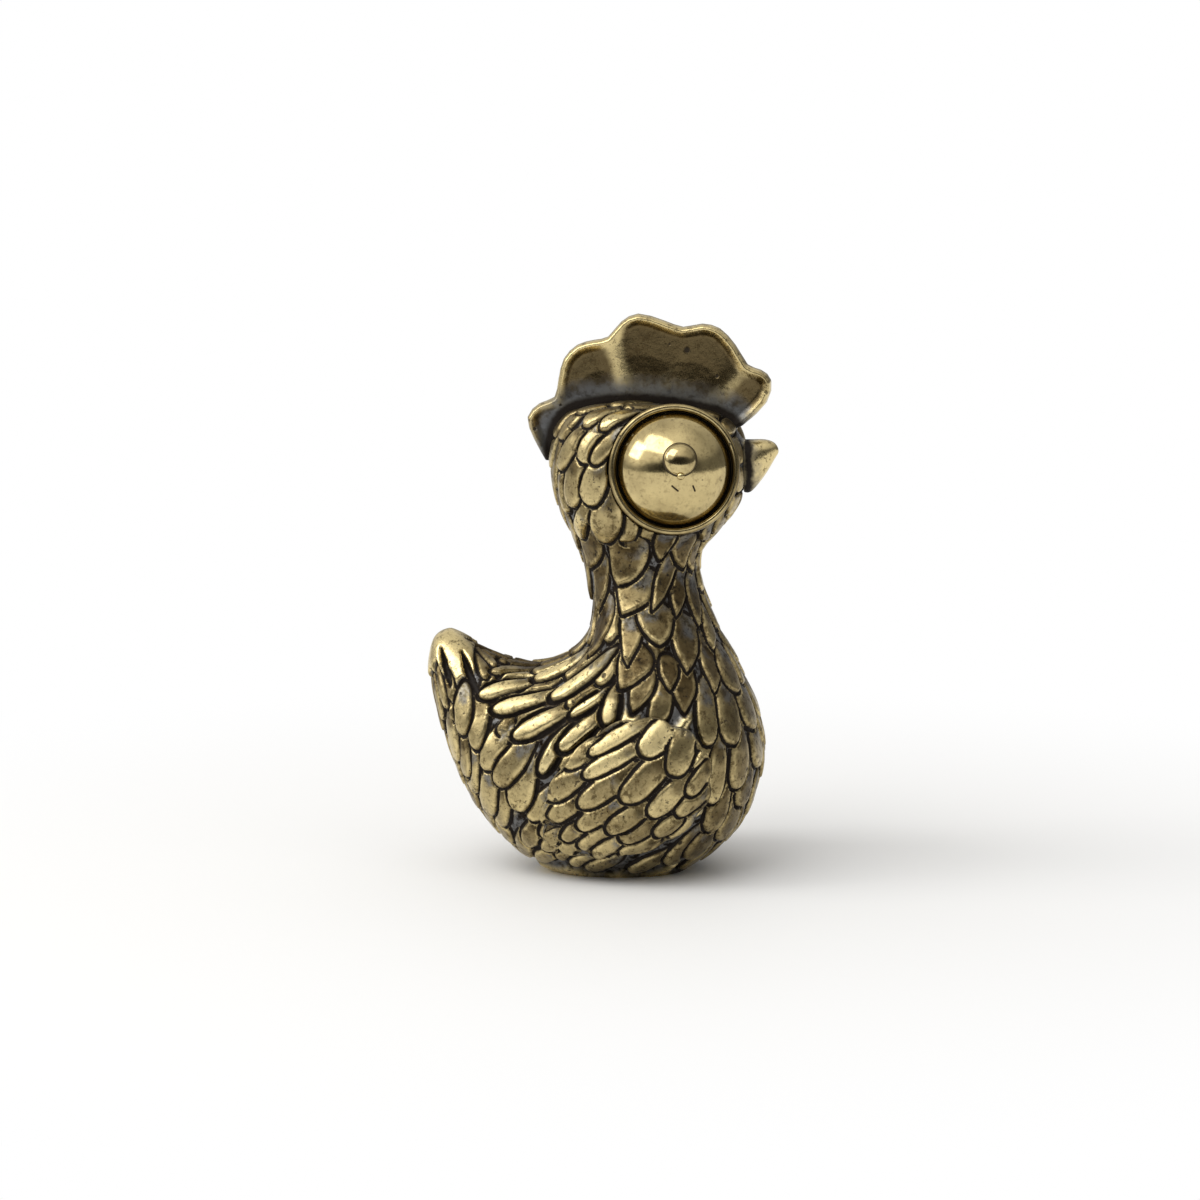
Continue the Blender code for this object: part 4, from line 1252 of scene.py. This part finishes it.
def comb_material():
    """The comb: rubbed rim, brown hollows, grey towards a black line at its root."""
    made, maker = new_material("comb_finish")
    palette = colours()
    root = maker.attribute("root")
    stipple = maker.noise(*COMB_STIPPLE)
    colour, stains = mottled_brass(maker, maker.noise(*BROAD_TONE) * 0.4)
    pit = maker.ramp(maker.attribute("pit"), *COMB_PIT_STEP) * 0.85
    pit = maker.most(pit, maker.pits(*COMB_SPECKLE) * 0.8)
    brown = maker.frayed(maker.attribute("hollow"), stipple, 0.35, COMB_HOLLOW_STEP)
    colour = maker.mix(brown * 0.92, colour, maker.mix(0.15, palette.brown, palette.patina))
    grey = maker.frayed(root, stipple, 0.9, COMB_GREY_STEP, 1.0, 0.0)
    slate = maker.mix(maker.ramp(stipple, *COMB_SLATE_STEP) * 0.7, palette.slate, palette.patina)
    colour = maker.mix(grey * 0.9, colour, slate)
    dark = maker.most(maker.frayed(root, stipple, 0.5, COMB_BLACK_STEP, 1.0, 0.0), pit)
    finish(maker, colour, 0.24 + stains * 0.1 + grey * 0.2, dark, stipple * 0.6 - pit, COMB_BUMP)
    return made


def beak_material():
    """The beak: rubbed at the tip, grey and dark at its root."""
    made, maker = new_material("beak_finish")
    root = maker.attribute("root")
    stipple = maker.noise(*BEAK_STIPPLE)
    colour, _ = mottled_brass(maker, maker.noise(*BROAD_TONE) * 0.2)
    grey = maker.frayed(root, stipple, 1.2, BEAK_GREY_STEP, 1.0, 0.0)
    colour = maker.mix(grey * 0.5, colour, colours().bare)
    dark = maker.frayed(root, stipple, 0.5, BEAK_BLACK_STEP, 1.0, 0.0)
    finish(maker, colour, 0.22 + grey * 0.15, dark, stipple, BEAK_BUMP)
    return made


def eye_material():
    """Polished brass, with patina where the turned profile has a groove."""
    made, maker = new_material("eye_polish")
    palette = colours()
    groove = maker.attribute("groove")
    clouds = maker.noise(*EYE_CLOUDS)
    grain = maker.noise(*EYE_GRAIN)
    colour = maker.mix(maker.ramp(clouds, *EYE_CLOUD_STEP) * 0.5 + 0.1, palette.brass, palette.deep_brass)
    colour = maker.mix(maker.ramp(grain, *EYE_GRAIN_STEP) * 0.45, colour, palette.deep_brass)
    colour = maker.mix(maker.ramp(maker.noise(*EYE_STAINS), *EYE_STAIN_STEP) * 0.5, colour, palette.brown)
    dull = maker.frayed(groove, clouds, 0.3, EYE_DULL_STEP)
    colour = maker.mix(dull * 0.85, colour, palette.brown)
    pit = maker.pits(*EYE_PITS)
    dark = maker.most(maker.ramp(groove, *EYE_BLACK_STEP), pit * 0.8)
    height = maker.noise(*EYE_BUMPS) + grain * 0.4 - pit
    finish(maker, colour, 0.1 + grain * 0.08 + dull * 0.2, dark, height, EYE_BUMP)
    return made


FINISHES = {
    "carved_brass": plumage_material,
    "comb_finish": comb_material,
    "beak_finish": beak_material,
    "eye_polish": eye_material,
}


def material(name):
    """The material of that name, made when it is first asked for."""
    return bpy.data.materials.get(name) or FINISHES[name]()


def body_skin(steps=8, facets=96):
    """The smooth outside of the body, closed by a flat underside on Z = 0."""
    ends = np.array([s[:2] for s in BODY_SECTIONS], float) * MM
    at = np.linspace(0, len(BODY_SECTIONS) - 1, (len(BODY_SECTIONS) - 1) * steps + 1)
    centres = smooth(ends.mean(axis=1), at, still_ends=True)
    reaches = smooth((ends[:, 1] - ends[:, 0]) / 2, at)
    widths = smooth([s[2] * MM for s in BODY_SECTIONS], at)
    bm = bmesh.new()
    rings = []
    for centre, reach, width in zip(centres, reaches, widths):
        if width <= 0:
            rings.append([bm.verts.new(place(*centre))])
            continue
        ring = []
        for k in range(facets):
            c, s = rounded(2 * math.pi * (k + 0.5) / facets, BODY_FULLNESS)
            ring.append(bm.verts.new(place(*(centre + reach * c), width * s)))
        rings.append(ring)
    join_rings(bm, rings)
    rim = cut_away(bm, (0, 0, 0), (0, 0, -1), clear_outer=True)
    bmesh.ops.contextual_create(bm, geom=rim)
    bmesh.ops.recalc_face_normals(bm, faces=bm.faces)
    return bm


def skin_object():
    """The hidden skin that feathers are laid on, and its tree for ray casts."""
    found = bpy.data.objects.get("body_skin") or hidden(new_object("body_skin", body_skin()))
    return found, ray_tree(found)


def body_keep_out():
    """A test for places that carry no feathers of their own."""
    eyes = {sign: axis_frame(f"{side}_eye_rim", sign).inverted() for side, sign in SIDES.items()}
    rim_radius = extent("right_eye_rim", eyes[-1].inverted())[0]
    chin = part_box("right_eye_rim")[0].z
    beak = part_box("beak")
    comb_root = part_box("comb")[0].z
    half_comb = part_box("comb")[1].x

    def keep_out(face):
        spot = face.center
        if spot.z < BASE_BAND:
            return True
        if spot.z > chin:
            local = eyes[1 if spot.x > 0 else -1] @ spot
            if math.hypot(local.x, local.y) < rim_radius + EYE_MARGIN:
                return True
            beside = abs(spot.x) < beak[1].x + BEAK_MARGIN
            level = beak[0].z - BEAK_MARGIN < spot.z < beak[1].z + BEAK_MARGIN
            if spot.y < beak[1].y and beside and level:
                return True
        if spot.z > comb_root and abs(spot.x) < half_comb + COMB_MARGIN:
            return True
        return spot.y > TAIL_CAP[0] and spot.z > TAIL_CAP[1]

    return keep_out


def mark_saddle_shade(mesh):
    """Stores how deep each vertex lies in the hollow of the back, for the painted shade there."""
    back = np.array([place(*s[0]) for s in BODY_SECTIONS[SADDLE]]) * MM
    gaps = distance_to_line(mesh_points(mesh), back)
    store_marks(mesh, "saddle_shade", np.clip((SADDLE_REACH - gaps) / (SADDLE_REACH - SADDLE_CORE), 0, 1))


def trim_casting(mesh):
    """Sinks the casting's skin inside each eye rim to the socket's floor, and trues up the underside."""
    points = mesh_points(mesh)
    for side, sign in SIDES.items():
        matrix = axis_frame(f"{side}_eye_rim", sign)
        outer, low, _ = extent(f"{side}_eye_rim", matrix)
        turn, middle = np.array(matrix.to_3x3()), np.array(matrix.translation)
        local = (points - middle) @ turn
        inside = (np.hypot(local[:, 0], local[:, 1]) < outer) & (local[:, 2] > low)
        local[inside, 2] = low
        points[inside] = local[inside] @ turn.T + middle
    points[:, 2] = np.maximum(points[:, 2], 0)
    mesh.vertices.foreach_set("co", points.ravel())
    mesh.update()


def parted(piece, name, *planes):
    """A closed part of a piece: what lies on the far side of planes given as (point, normal)."""
    bm = bmesh.new()
    bm.from_mesh(piece.data)
    for point, normal in planes:
        rim = cut_away(bm, point, normal, clear_inner=True)
        for edge in rim:
            edge.smooth = False
        bmesh.ops.holes_fill(bm, edges=rim)
    return new_object(name, bm, material("carved_brass"))


class ROOSTER_OT_body(bpy.types.Operator):
    """Carve the feathers of the head, neck, breast, back and tail into the body casting."""

    bl_idname = "rooster.body"
    bl_label = "Body"

    def execute(self, context):
        skin, tree = skin_object()
        almond = leaf("almond_leaf", *ALMOND)
        lappet = leaf("lappet_leaf", *LAPPET)
        drawn = {name: drawn_feathers(tree, rows) for name, rows in BODY_GROUPS.items()}
        drawn = {name: feathers + mirrored(feathers) for name, feathers in drawn.items()}
        wing = drawn_feathers(tree, WING_FEATHERS + SHOULDER_FEATHERS)
        known = [f for group in drawn.values() for f in group] + wing + mirrored(wing)
        drawn["filling"] = fill_feathers(skin, known, body_keep_out())
        patterns = []
        for name, feathers in drawn.items():
            shape = lappet if name == "neck" else almond
            patterns.append(lay_pattern(f"{name}_pattern", feathers, shape, skin, MANNERS[name]))
        casting = carve(new_object("whole_casting", body_skin()), joined("body_pattern", patterns))
        mark_saddle_shade(casting.data)
        trim_casting(casting.data)
        middle, neck = (0, 0, 0), (0, 0, NECK_PARTING)
        pieces = {
            "head_and_neck": [(neck, (0, 0, 1))],
            "right_body": [(neck, (0, 0, -1)), (middle, (-1, 0, 0))],
            "left_body": [(neck, (0, 0, -1)), (middle, (1, 0, 0))],
        }
        for name, planes in pieces.items():
            hand_in(parted(casting, name, *planes), "plumage_brass", "body")
        bpy.data.objects.remove(casting)
        return {"FINISHED"}


def wing_plate(name, tree, sign, rings=40, facets=160):
    """A smooth wing, lying along the flank of the body's skin."""
    bm = bmesh.new()
    backs = []
    fronts = []
    for ring in range(rings + 1):
        share = ring / rings
        back = []
        front = []
        for k in range(facets if ring else 1):
            angle = 2 * math.pi * k / facets
            reach = share * (1 - WING_SCALLOP * share**2 * (1 - abs(math.sin(WING_LOBES * angle / 2))))
            along = reach * math.cos(angle) * WING_LENGTH / 2
            across = reach * math.sin(angle) * WING_DEPTH / 2 * (1 + WING_TAPER * math.cos(angle))
            forward = WING_CENTRE[0] + along * math.cos(WING_SLOPE) - across * math.sin(WING_SLOPE)
            up = WING_CENTRE[1] + along * math.sin(WING_SLOPE) + across * math.cos(WING_SLOPE)
            full = WING_REAR + (WING_SHOULDER - WING_REAR) * (1 + share * math.cos(angle)) / 2
            thick = WING_EDGE + (full - WING_EDGE) * (1 - share ** WING_BULGE[0]) ** WING_BULGE[1]
            hit, normal, _, _ = tree.ray_cast(place(forward, up, sign), Vector((-sign, 0, 0)))
            back.append(bm.verts.new(hit + normal * WING_GAP))
            front.append(bm.verts.new(hit + normal * (WING_GAP + thick)))
        backs.append(back)
        fronts.append(front)
    join_rings(bm, fronts + backs[::-1])
    bmesh.ops.recalc_face_normals(bm, faces=bm.faces)
    return new_object(name, bm)


def faces_body(sign):
    """A test for faces of a wing that don't look outwards, and so carry no feathers."""
    return lambda face: face.normal.x * sign < FACE_STEP[0]


class ROOSTER_OT_wings(bpy.types.Operator):
    """Carve the feathered wing plates."""

    bl_idname = "rooster.wings"
    bl_label = "Wings"

    def execute(self, context):
        _, tree = skin_object()
        almond = leaf("wing_leaf", *ALMOND)
        drawn = {}
        for side, sign in SIDES.items():
            piece = wing_plate(f"{side}_feathered_wing", tree, sign)
            if not drawn:
                surface = ray_tree(piece)
                drawn = {name: drawn_feathers(surface, rows) for name, rows in WING_GROUPS.items()}
            mine = {name: fs if sign < 0 else mirrored(fs) for name, fs in drawn.items()}
            known = [f for group in mine.values() for f in group]
            mine["wing_filling"] = fill_feathers(piece, known, faces_body(sign))
            patterns = []
            for name, feathers in mine.items():
                patterns.append(lay_pattern(f"{side}_{name}_pattern", feathers, almond, piece, MANNERS[name]))
            carve(piece, joined(f"{side}_wing_patterns", patterns), WING_RELIEF, (sign, 0.0, 0.0))
            hand_in(piece, "plumage_brass", f"{side}_wing")
        return {"FINISHED"}


def comb_rays():
    """For each angle that meets the comb: the angle, and the radius of its root and of its edge."""
    bm = merged("comb")
    tree = BVHTree.FromBMesh(bm)
    bm.free()
    middle = place(*COMB_MIDDLE)
    columns = []
    for k in range(COMB_COLUMNS):
        angle = math.radians(COMB_SWEEP[0] + (COMB_SWEEP[1] - COMB_SWEEP[0]) * k / COMB_COLUMNS)
        way = place(math.cos(angle), math.sin(angle))
        far = tree.ray_cast(middle + way * COMB_BEYOND, -way)[0]
        near = tree.ray_cast(middle, way)[0]
        if far and near:
            columns.append((angle, (near - middle).length, (far - middle).length))
    return columns


def comb_relief(columns):
    """For spots in a grid on the comb: place forward and up, half thickness, and share of the hollow."""
    shares = np.linspace(0, 1, COMB_ROWS) ** COMB_ROW_POWER
    angles = np.array([c[0] for c in columns])
    radii = np.array([[near + (far - near) * s for s in shares] for _, near, far in columns])
    spots = np.stack([radii * np.cos(angles)[:, None], radii * np.sin(angles)[:, None]], axis=2)
    edge = np.concatenate([spots[0], spots[1:-1, -1], spots[-1][::-1]])
    flat = spots.reshape(-1, 2)
    depth = distance_to_line(flat, edge)
    ridge = np.zeros(len(flat))
    degrees = np.degrees(np.repeat(angles, COMB_ROWS))
    for middle, strength in COMB_RIDGES.items():
        ridge = np.maximum(ridge, strength * np.exp(-(((degrees - middle) / COMB_RIDGE_SPREAD) ** 2)))
    rim = np.sqrt(np.clip(1 - (1 - np.clip(depth / COMB_RIM, 0, 1)) ** 2, 0, 1))
    fall = np.clip((depth - COMB_RIM_LEVEL * COMB_RIM) / COMB_FALL, 0, 1)
    fall = fall * fall * (3 - 2 * fall)
    rest = np.clip((np.tile(shares, len(columns)) - COMB_ROOT_START) / COMB_ROOT_SPAN, 0, 1)
    hollow = fall * (1 - COMB_RIDGE_FILL * ridge) * (COMB_ROOT_SHARE + (1 - COMB_ROOT_SHARE) * rest)
    return flat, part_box("comb")[1].x * rim * (1 - COMB_HOLLOW * hollow), hollow


def comb_blade(tree):
    """The comb's mesh: a sheet for each side, joined at the rim and closed along the root."""
    columns = comb_rays()
    spots, width, hollow = comb_relief(columns)
    bm = bmesh.new()
    marks = {key: bm.verts.layers.float.new(key) for key in ("root", "hollow")}
    sheets = []
    for sign in SIDES.values():
        sheet = []
        for k, (forward, up) in enumerate(spots):
            spot = place(COMB_MIDDLE[0] + forward, COMB_MIDDLE[1] + up, sign * width[k])
            foot, normal, _, _ = tree.find_nearest(spot)
            vert = bm.verts.new(spot)
            vert[marks["root"]] = (spot - foot).dot(normal) / MM
            vert[marks["hollow"]] = hollow[k]
            sheet.append(vert)
        sheets.append(sheet)
    right, left = sheets
    for start in range(0, (len(columns) - 1) * COMB_ROWS, COMB_ROWS):
        for sheet in sheets:
            for k in range(start, start + COMB_ROWS - 1):
                bm.faces.new((sheet[k], sheet[k + COMB_ROWS], sheet[k + COMB_ROWS + 1], sheet[k + 1]))
        bm.faces.new((right[start], right[start + COMB_ROWS], left[start + COMB_ROWS], left[start]))
    bmesh.ops.remove_doubles(bm, verts=bm.verts, dist=COMB_MERGE)
    bmesh.ops.recalc_face_normals(bm, faces=bm.faces)
    return bm


def mark_pits(piece):
    """Stores how near each vertex of the comb is to one of its casting pits, on both sides."""
    tree = ray_tree(piece)
    points = mesh_points(piece.data)
    depth = np.zeros(len(points))
    for pixel, radius in COMB_PITS:
        hit = look(tree, *pixel)
        if not hit:
            raise RuntimeError(f"no comb at pixel {pixel}")
        gaps = np.linalg.norm(points[:, 1:] - np.array(hit[0])[1:], axis=1)
        depth = np.maximum(depth, fading(gaps, radius))
    store_marks(piece.data, "pit", depth)


class ROOSTER_OT_comb(bpy.types.Operator):
    """Make the lobed comb: a blade with a raised rim and a hollow in each lobe."""

    bl_idname = "rooster.comb"
    bl_label = "Comb"

    def execute(self, context):
        _, tree = skin_object()
        piece = new_object("lobed_comb", comb_blade(tree), material("comb_finish"))
        mark_pits(piece)
        hand_in(piece, "comb_brass", "comb")
        return {"FINISHED"}


class ROOSTER_OT_beak(bpy.types.Operator):
    """Make the beak, rounded from its node, with its distance to the body's skin stored in millimetres."""

    bl_idname = "rooster.beak"
    bl_label = "Beak"

    def execute(self, context):
        _, tree = skin_object()
        piece = new_object("short_beak", merged("beak"))
        rounding = piece.modifiers.new("rounding", "SUBSURF")
        rounding.levels = BEAK_LEVELS
        rounding.render_levels = BEAK_LEVELS
        mesh = flatten(piece).data
        mesh.shade_smooth()
        store_marks(mesh, "root", [tree.find_nearest(v.co)[3] / MM for v in mesh.vertices])
        mesh.materials.clear()
        mesh.materials.append(material("beak_finish"))
        hand_in(piece, "beak_brass", "beak")
        return {"FINISHED"}


def turned(profile, facets, matrix, name, ring=False):
    """A piece turned from (radius, height, dirt) points about the axis of a matrix."""
    bm = bmesh.new()
    layer = bm.verts.layers.float.new("groove")
    rings = []
    for radius, height, dirt in profile:
        count = facets if radius > 0 else 1
        loop = []
        for k in range(count):
            angle = 2 * math.pi * k / count
            vert = bm.verts.new(matrix @ Vector((radius * math.cos(angle), radius * math.sin(angle), height)))
            vert[layer] = dirt
            loop.append(vert)
        rings.append(loop)
    join_rings(bm, rings + rings[:1] if ring else rings)
    bmesh.ops.recalc_face_normals(bm, faces=bm.faces)
    return new_object(name, bm, material("eye_polish"))


def arc(radius, across, up, start, end, steps, dirt=CLEAN):
    """Profile points on an arc about a middle across and up, from one angle in degrees to another."""
    angles = np.radians(np.linspace(start, end, steps))
    return [(across + radius * math.cos(a), up + radius * math.sin(a), dirt) for a in angles]


def rim_profile(inner, outer, low, high):
    """An eye rim: a plain wall outside, a round bead on top and a dark lip inside."""
    below, above = RIM_WALL
    rim = [(inner, low, BLACK), (outer, low, below), (outer, high - 1.6 * RIM_BEAD, above)]
    for start, end, dirt in RIM_ARCS:
        rim += arc(RIM_BEAD, outer - RIM_BEAD, high - RIM_BEAD, start, end, RIM_ARC_STEPS, dirt)
    return rim + [(inner, high - 1.5 * RIM_BEAD, RIM_LIP), (inner, high - 2.2 * RIM_BEAD, BLACK)]


def dome_profile(radius, low, high, seat):
    """An eye dome: part of a ball over a short straight wall, dark at its edge."""
    rise = high - seat
    ball = (radius**2 + rise**2) / (2 * rise)
    widest = math.degrees(math.asin(radius / ball))
    wall = [(0, low, BLACK), (radius, low, BLACK), (radius, seat - DOME_WALL, BLACK)]
    curve = arc(ball, 0, high - ball, 90 - widest, DOME_TOP, DOME_STEPS)
    curve[0] = (*curve[0][:2], BLACK)
    return wall + curve + [(0, high, CLEAN)]


def pupil_profile(radius, bottom, top):
    """A pupil: a pin, a button with a dark edge, and its round crown."""
    foot = top - PUPIL_RISE
    pin = PUPIL_PIN * radius
    button = [(0, bottom, BLACK), (pin, bottom, BLACK), (pin, foot - PUPIL_PIN_TOP, BLACK)]
    button += [(radius, foot - PUPIL_EDGE, BLACK), (radius, foot, PUPIL_EDGE_SOIL)]
    button.append((PUPIL_LIP[0] * radius, foot + PUPIL_LIP[1], PUPIL_LIP_SOIL))
    for k in range(1, PUPIL_STEPS):
        turn = math.pi / 2 * k / PUPIL_STEPS
        button.append((PUPIL_CROWN * radius * math.cos(turn), foot + PUPIL_RISE * math.sin(turn), CLEAN))
    return button + [(0, top, CLEAN)]


def add_bead(piece, centre):
    """Adds a small ball to a piece."""
    bm = bmesh.new()
    bm.from_mesh(piece.data)
    bmesh.ops.create_icosphere(bm, subdivisions=3, radius=PUPIL_BEAD, matrix=Matrix.Translation(centre))
    bm.to_mesh(piece.data)
    bm.free()
    piece.data.shade_smooth()


def mark_nicks(mesh, nicks):
    """Darkens short lines on a turned piece."""
    dirt = np.zeros(len(mesh.vertices), np.float32)
    mesh.attributes["groove"].data.foreach_get("value", dirt)
    for nick in nicks:
        gaps = distance_to_line(mesh_points(mesh), np.array(nick))
        dirt = np.maximum(dirt, fading(gaps, NICK_WIDTH))
    store_marks(mesh, "groove", dirt)


class ROOSTER_OT_eyes(bpy.types.Operator):
    """Turn the rims, domes and pupils of both eyes."""

    bl_idname = "rooster.eyes"
    bl_label = "Eyes"

    def execute(self, context):
        nicks = []
        for side, sign in SIDES.items():
            axis = axis_frame(f"{side}_eye_rim", sign)
            outer, low, high = extent(f"{side}_eye_rim", axis)
            dome_radius, dome_low, dome_high = extent(f"{side}_eye_dome", axis)
            profile = rim_profile(dome_radius + RIM_GAP, outer, low, high)
            ring = turned(profile, RIM_FACETS, axis, f"{side}_eye_ring", ring=True)
            hand_in(ring, "eye_brass", f"{side}_eye_rim")

            profile = dome_profile(dome_radius, dome_low, dome_high, high - RIM_BEAD)
            ball = turned(profile, DOME_FACETS, axis, f"{side}_eye_ball")
            if not nicks:
                tree = ray_tree(ball)
                nicks = [[look(tree, *end)[0] for end in nick] for nick in EYE_NICKS]
            mark_nicks(ball.data, [[end * Vector((-sign, 1, 1)) for end in nick] for nick in nicks])
            hand_in(ball, "eye_brass", f"{side}_eye_dome")

            gaze = axis_frame(f"{side}_pupil", sign)
            radius, bottom, top = extent(f"{side}_pupil", gaze)
            button = turned(pupil_profile(radius, bottom, top), PUPIL_FACETS, gaze, f"{side}_pupil_button")
            under = Vector((0, -PUPIL_BEAD_DROP * radius, top - PUPIL_RISE + PUPIL_BEAD_LIFT))
            add_bead(button, gaze @ under)
            hand_in(button, "eye_brass", f"{side}_pupil")
        return {"FINISHED"}


def floor_material():
    """A pale floor that takes the shadow, and goes over into white away from the figure."""
    made, maker = new_material("pale_floor")
    paint = {"Base Color": (*stage().floor, 1.0), "Roughness": FLOOR_ROUGHNESS}
    painted = maker.node("ShaderNodeBsdfPrincipled", None, paint)
    white = maker.node("ShaderNodeEmission", None, {"Strength": 1.0})
    seen = maker.most(maker.light_path("Is Camera Ray"), maker.light_path("Is Glossy Ray"))
    seen = maker.most(seen, maker.light_path("Is Transmission Ray"))
    away = maker.vector("LENGTH", maker.own_place())
    factor = maker.ramp(away, *FLOOR_FADE) * seen
    shader = maker.node("ShaderNodeMixShader", None, {0: factor, 1: painted, 2: white})
    maker.node("ShaderNodeOutputMaterial", None, {"Surface": shader})
    return made


def studio():
    """A pale ceiling over darker walls, darkest behind the camera and dimmer before the breast."""
    world = bpy.data.worlds.new("studio")
    world.use_nodes = True
    maker = Maker(world.node_tree)
    direction = maker.node("ShaderNodeTexCoord", output="Generated")
    x, y, z = (maker.part(direction, axis) for axis in "XYZ")
    aside = maker.ramp(x, *ASIDE_STEP)
    wall = stage().dusk + aside * (stage().horizon - stage().dusk)
    lowered = z + aside * CEILING_DROP + maker.ramp(y, *TAIL_STEP) * CEILING_DROP
    overhead = stage().zenith * maker.ramp(x, *FAR_STEP, 1.0, FAR_DIM)
    light = wall + maker.ramp(lowered, *CEILING_STEP) * (overhead - wall)
    dim = maker.ramp(y, *FRONT_STEP, FRONT_DIM, 1.0)
    sky = maker.node("ShaderNodeBackground", None, {"Color": STUDIO_TINT, "Strength": light * dim})
    maker.node("ShaderNodeOutputWorld", None, {"Surface": sky})
    return world


def add_lamp(name, spot, long, wide, share):
    """A lamp with a glowing rectangle that faces the figure's middle."""
    data = bpy.data.lights.new(name, "AREA")
    data.shape = "RECTANGLE"
    data.size = long
    data.size_y = wide
    data.energy = stage().lamps * share * math.pi * long * wide
    lamp = linked(bpy.data.objects.new(name, data))
    lamp.location = spot
    lamp.rotation_euler = (Vector((0, 0, stage().middle)) - Vector(spot)).to_track_quat("-Z", "Y").to_euler()


def add_camera():
    """The camera that sees the figure as the picture shows it."""
    data = bpy.data.cameras.new("camera")
    data.sensor_fit = "HORIZONTAL"
    data.angle = 2 * math.atan(PICTURE_SIDE / 2 * stage().pixel / stage().distance)
    data.clip_start = CAMERA_NEAR
    matrix = Matrix(camera_axes()).transposed().to_4x4()
    matrix.translation = camera_place()
    camera = linked(bpy.data.objects.new("camera", data))
    camera.matrix_world = matrix
    return camera


class ROOSTER_OT_stage(bpy.types.Operator):
    """Set the floor, the light and the camera."""

    bl_idname = "rooster.stage"
    bl_label = "Stage"

    def execute(self, context):
        bm = bmesh.new()
        bmesh.ops.create_circle(bm, cap_ends=True, radius=FLOOR_RADIUS, segments=FLOOR_FACETS)
        new_object("floor", bm, floor_material())
        for lamp in LAMPS:
            add_lamp(*lamp)
        scene = context.scene
        scene.world = studio()
        scene.camera = add_camera()
        scene.view_settings.view_transform = "Standard"
        return {"FINISHED"}


class ROOSTER_PT_panel(bpy.types.Panel):
    """The figurine's pieces and settings."""

    bl_idname = "ROOSTER_PT_panel"
    bl_label = "Brass Rooster"
    bl_space_type = "VIEW_3D"
    bl_region_type = "UI"
    bl_category = "Rooster"

    def draw(self, context):
        layout = self.layout
        for group in (sizes(), colours(), stage()):
            box = layout.box()
            for name in group.bl_rna.properties.keys():
                if name not in ("rna_type", "name"):
                    box.prop(group, name)
        for operator in OPERATORS:
            layout.operator(operator.bl_idname)


OPERATORS = (
    ROOSTER_OT_body,
    ROOSTER_OT_wings,
    ROOSTER_OT_comb,
    ROOSTER_OT_beak,
    ROOSTER_OT_eyes,
    ROOSTER_OT_stage,
)
GROUPS = {"rooster_sizes": RoosterSizes, "rooster_colours": RoosterColours, "rooster_stage": RoosterStage}
CLASSES = (*GROUPS.values(), *OPERATORS, ROOSTER_PT_panel)


def register():
    for cls in CLASSES:
        bpy.utils.register_class(cls)
    for name, group in GROUPS.items():
        setattr(bpy.types.Scene, name, PointerProperty(type=group))


def unregister():
    for name in GROUPS:
        delattr(bpy.types.Scene, name)
    for cls in reversed(CLASSES):
        bpy.utils.unregister_class(cls)


def main():
    """Makes every piece in order."""
    register()
    for operator in OPERATORS:
        group, name = operator.bl_idname.split(".")
        getattr(getattr(bpy.ops, group), name)()


if __name__ == "__main__":
    main()
